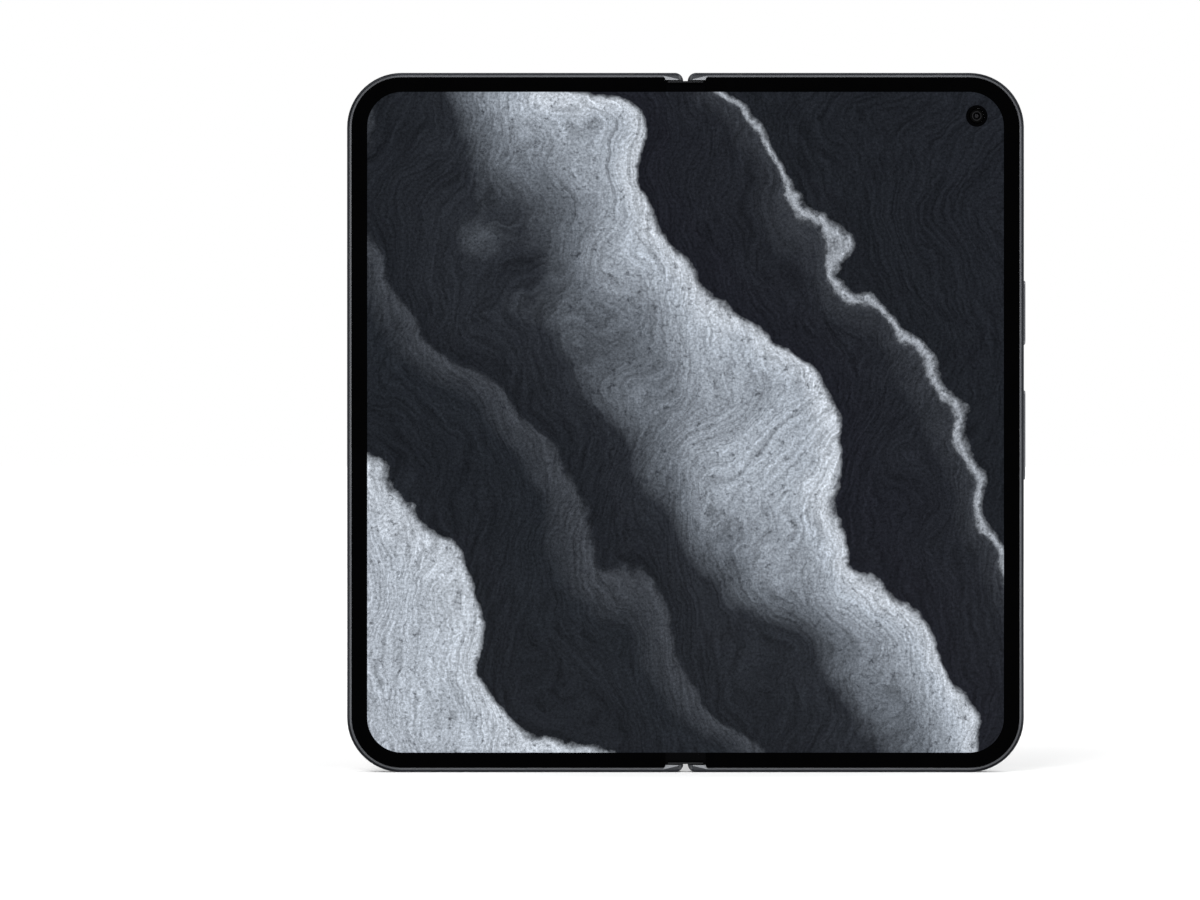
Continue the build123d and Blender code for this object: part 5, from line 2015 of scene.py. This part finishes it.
@dataclass
class Inside:
    """What the frames hide, and the plain pieces in view: cells, boards, coil, screws, keys, spine.

    Attributes:
        arm_screw_x, arm_screw_z: x, and distances from the phone's ends, of the arm screws.
        arm_screw_depth: depth of the middle of their heads.
        board_screws: x and z of the board screws, on the right half; the left has them mirrored.
        board_screw_depth: depth of the middle of their heads.
        screw: sizes that all screws share.
        coil_outer, coil_inner: outer and inner radius of the charging coil.
        coil_near, coil_t: depth of its front, and its thickness.
        coil_turns: turns of wire that fit between both radii.
        coil_fill: share of a turn's width that the wire takes up.
        pairs: finishes of the nodes that both halves have, by the end of their names.
        singles: finishes of the other nodes.
    """

    arm_screw_x: float = 7.20
    arm_screw_z: tuple[float, float] = (14.95, 20.55)
    arm_screw_depth: float = 1.35
    board_screws: tuple[tuple[float, float], ...] = ((19.1, 94.6), (19.1, 149.1), (42.5, 94.6))
    board_screw_depth: float = 3.0
    screw: dict[str, float] = field(default_factory=lambda: {
        "Head radius": 1.1, "Head height": 0.4, "Shank radius": 0.6,
    })
    coil_outer: float = 23.0
    coil_inner: float = 11.0
    coil_near: float = 4.05
    coil_t: float = 0.25
    coil_turns: float = 20.0
    coil_fill: float = 0.86
    pairs: dict[str, Finish] = field(default_factory=lambda: {
        "battery": POUCH, "board": LAMINATE, "board_shields": STEEL, "magnets": NICKEL,
        "hinge_arms": STEEL, "support_plate": SPRING, "bezel": BEZEL, "idler_gears": STEEL,
    })
    singles: dict[str, Finish] = field(default_factory=lambda: {
        "cover_display_panel": BLACK_PLASTIC, "earpiece_speaker": BLACK_PLASTIC,
        "haptic_motor": STEEL, "sim_reader": STEEL, "back_glass": BACK_GLASS,
        "main_board": LAMINATE, "main_board_shields": STEEL, "heat_spreader": COPPER,
        "ferrite_sheet": FERRITE, "usb_board": LAMINATE, "loudspeaker": BLACK_PLASTIC,
        "button_switches": STEEL, "power_button": KEY_METAL, "volume_rocker": KEY_METAL,
        "spine_cover": SPINE, "spine_end_caps": SPINE, "hinge_bases": STEEL,
        "hinge_middle_base": STEEL, "hinge_centre_plate": SPRING, "friction_clips": SPRING,
    })

    def build(self) -> None:
        """Dress the nodes and make the coil and the screws."""
        for half in Half:
            for ending, finish in self.pairs.items():
                node = half.node(ending)
                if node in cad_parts:
                    dress_node(node, finish)
            self.screws(half)
        for node, finish in self.singles.items():
            dress_node(node, finish)
        self.coil()

    def coil(self) -> None:
        """The charging coil, wound from one flat wire."""
        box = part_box("charging_coil")
        x, z = ((box[0][i] + box[1][i]) / 2 / MM for i in (0, 2))
        width = (self.coil_outer - self.coil_inner) / self.coil_turns
        winding = winding_tree().grow("coil_carrier", [(0, 0, 0)], {
            "Turns": self.coil_turns - 1, "Inner radius": self.coil_inner + width / 2,
            "Outer radius": self.coil_outer - width / 2, "Wire width": width * self.coil_fill,
            "Wire height": self.coil_t, "Centre": (x, self.coil_near + self.coil_t / 2, z),
        }, COPPER)
        made = winding.finish("charging_coil_wound", (COPPER,), Smoothing.BLOCK)
        seat(made, Half.RIGHT.body, "copper", "charging_coil")

    def screws(self, half: Half) -> None:
        """The arm screws, heads forwards, and the board screws, heads backwards.

        Args:
            half: the half that they hold.
        """
        arms = [
            (half.value * self.arm_screw_x, self.arm_screw_depth, z)
            for low in self.arm_screw_z for z in (low, PHONE.height - low)
        ]
        piece = screw_tree().grow(
            "arm_screw_carrier", arms, {**self.screw, "Shank length": 2.1, "Way": 1.0}, STEEL
        )
        boards = [(half.value * x, self.board_screw_depth, z) for x, z in self.board_screws]
        more = screw_tree().grow(
            "board_screw_carrier", boards, {**self.screw, "Shank length": 1.2, "Way": -1.0}, STEEL
        )
        joined = bpy.data.meshes.new("joined")
        more.bm.to_mesh(joined)
        piece.bm.from_mesh(joined)
        made = piece.finish(half.node("screws_cut"), (STEEL,), Smoothing.PLAIN)
        seat(made, half.body, "steel", half.node("screws"))


# ---------------------------------------------------------------- the studio
@dataclass
class Studio:
    """A pale floor, white surroundings, soft lights and the camera; lengths are in metres.

    Attributes:
        camera_place: where the camera stands.
        lens, sensor: its focal length and the width of its sensor, in millimetres.
        clip: nearest and furthest distance that it sees.
        floor_size: edge length of the floor.
        floor_tone: how pale the floor is.
        floor_lift: light that the camera sees on the floor, near the phone and further out.
        lift_reach: distances from the phone between which that light grows.
        dimmed_behind: how much of that light is taken away behind the phone, a painted shade there.
        dim_reach: Y between which this sets in.
        horizon, zenith: strength of the surroundings' light, level and above.
        zenith_from: height of direction from which it is as strong as above.
        card_y, card_half: place of the dark card, and half its width and height.
        lamps: name, place, edge length and watts of each soft light.
        aim: where the lights look.
    """

    camera_place: tuple[float, float, float] = (-0.01897, -1.1128, 0.0715)
    lens: float = 150.0
    sensor: float = 36.0
    clip: tuple[float, float] = (0.02, 100)
    floor_size: float = 40.0
    floor_tone: float = 0.93
    floor_lift: tuple[float, float] = (0.11, 0.85)
    lift_reach: tuple[float, float] = (0.16, 0.65)
    dimmed_behind: float = 0.06
    dim_reach: tuple[float, float] = (-0.004, 0.020)
    horizon: float = 0.62
    zenith: float = 1.0
    zenith_from: float = 0.7
    card_y: float = -2.7
    card_half: float = 0.65
    lamps: tuple[tuple[str, tuple[float, float, float], float, float], ...] = (
        ("key_light", (-1.1, -1.6, 1.9), 1.6, 34),
        ("fill_light", (1.4, -1.2, 1.3), 1.4, 18),
        ("back_light", (0.3, 1.5, 1.8), 1.6, 8),
    )
    aim: tuple[float, float, float] = (0, 0, 0.07)

    def camera(self) -> None:
        """The camera, level and square to the phone."""
        data = bpy.data.cameras.new("studio_camera")
        data.lens, data.sensor_width, data.sensor_fit = self.lens, self.sensor, "HORIZONTAL"
        data.clip_start, data.clip_end = self.clip
        item = linked("studio_camera", data)
        item.location = self.camera_place
        item.rotation_euler = (math.pi / 2, 0, 0)
        bpy.context.scene.camera = item

    def build(self) -> None:
        """Floor, surroundings, dark card and lights."""
        bpy.context.scene.view_settings.view_transform = "Standard"
        self.world()
        self.floor()
        self.card()
        for name, place, size, power in self.lamps:
            self.lamp(name, place, size, power)

    def world(self) -> None:
        """White surroundings: plain white to look at, a little dimmer as light."""
        world = bpy.data.worlds.new("studio_world")
        bpy.context.scene.world = world
        world.use_nodes = True
        graph = ShaderGraph(world.node_tree)
        direction = graph.node("TexCoord").outputs["Generated"]
        height = graph.node("SeparateXYZ", direction).outputs[2]
        strength = graph.remap(height, 0.0, self.zenith_from, self.horizon, self.zenith)
        light = graph.node("Background", None, strength).outputs[0]
        seen = graph.node("Background", (1, 1, 1, 1)).outputs[0]
        graph.node("OutputWorld", graph.for_camera(light, seen))

    def floor(self) -> None:
        """A pale floor that takes the phone's shadow and turns plain white further out; behind the phone less
        light is added, a painted shade.
        """
        half = self.floor_size / 2
        material = bpy.data.materials.new("floor_paper")
        material.use_nodes = True
        graph = ShaderGraph(material.node_tree)
        place = graph.node("TexCoord").outputs["Object"]
        away = graph.vector("LENGTH", place, result="Value")
        grown = graph.remap(away, *self.lift_reach, *self.floor_lift)
        y = graph.node("SeparateXYZ", place).outputs[1]
        # painted shade: the added light is lowered behind the phone
        dimmed = graph.remap(y, *self.dim_reach, 0.0, self.dimmed_behind)
        lift = graph.node("Emission", None, graph.math("SUBTRACT", grown, dimmed)).outputs[0]
        paper = graph.node("BsdfDiffuse", tinted((self.floor_tone,) * 3)).outputs[0]
        seen = graph.node("AddShader", paper, lift).outputs[0]
        graph.node("OutputMaterial", graph.for_camera(paper, seen))
        item = self.sheet(
            "studio_floor", [(-half, -half, 0), (half, -half, 0), (half, half, 0), (-half, half, 0)], material
        )

    def card(self) -> None:
        """A dark card behind the camera, which the display mirrors."""
        w, y, top = self.card_half, self.card_y, 2 * self.card_half
        black = dressed(Finish("card_black", (0.002, 0.002, 0.002), 0.9, specular=0.0))
        item = self.sheet("studio_card", [(-w, y, 0), (w, y, 0), (w, y, top), (-w, y, top)], black)
        item.visible_camera = False

    def sheet(
        self, name: str, corners: Sequence[Sequence[float]], material: bpy.types.Material
    ) -> bpy.types.Object:
        """A flat sheet with four corners.

        Args:
            name: its name.
            corners: its corners.
            material: its material.

        Returns:
            The object, linked into the scene.
        """
        mesh = bpy.data.meshes.new(name)
        mesh.from_pydata(corners, [], [(0, 1, 2, 3)])
        mesh.materials.append(material)
        return linked(name, mesh)

    def lamp(self, name: str, place: Sequence[float], size: float, power: float) -> None:
        """A soft light that looks at the phone.

        Args:
            name: its name.
            place: where it hangs.
            size: its edge length.
            power: its power, in watts.
        """
        data = bpy.data.lights.new(name, "AREA")
        data.size, data.energy = size, power
        item = linked(name, data)
        item.location = place
        way = Vector(self.aim) - Vector(place)
        item.rotation_euler = way.to_track_quat("-Z", "Y").to_euler()


@dataclass
class FoldablePhone:
    """The whole phone."""

    parts: tuple[object, ...] = field(default_factory=lambda: (
        MetalFrame(Half.LEFT), MetalFrame(Half.RIGHT), InnerDisplay(),
        SmallCamera("inner_camera", Half.RIGHT.body, *INNER_CAMERA, tip=0.35, shoulder=1.05, base=4.15),
        CameraGroup(), CoverSide(), Edges(), Inside(),
    ))

    def build(self) -> None:
        """Make every part."""
        for part in self.parts:
            part.build()


def main() -> None:
    """Build the studio and the phone."""
    logging.basicConfig(level=logging.INFO, format="%(name)s: %(message)s")
    studio = Studio()
    studio.camera()
    FoldablePhone().build()
    studio.build()


if __name__ == "__main__":
    main()
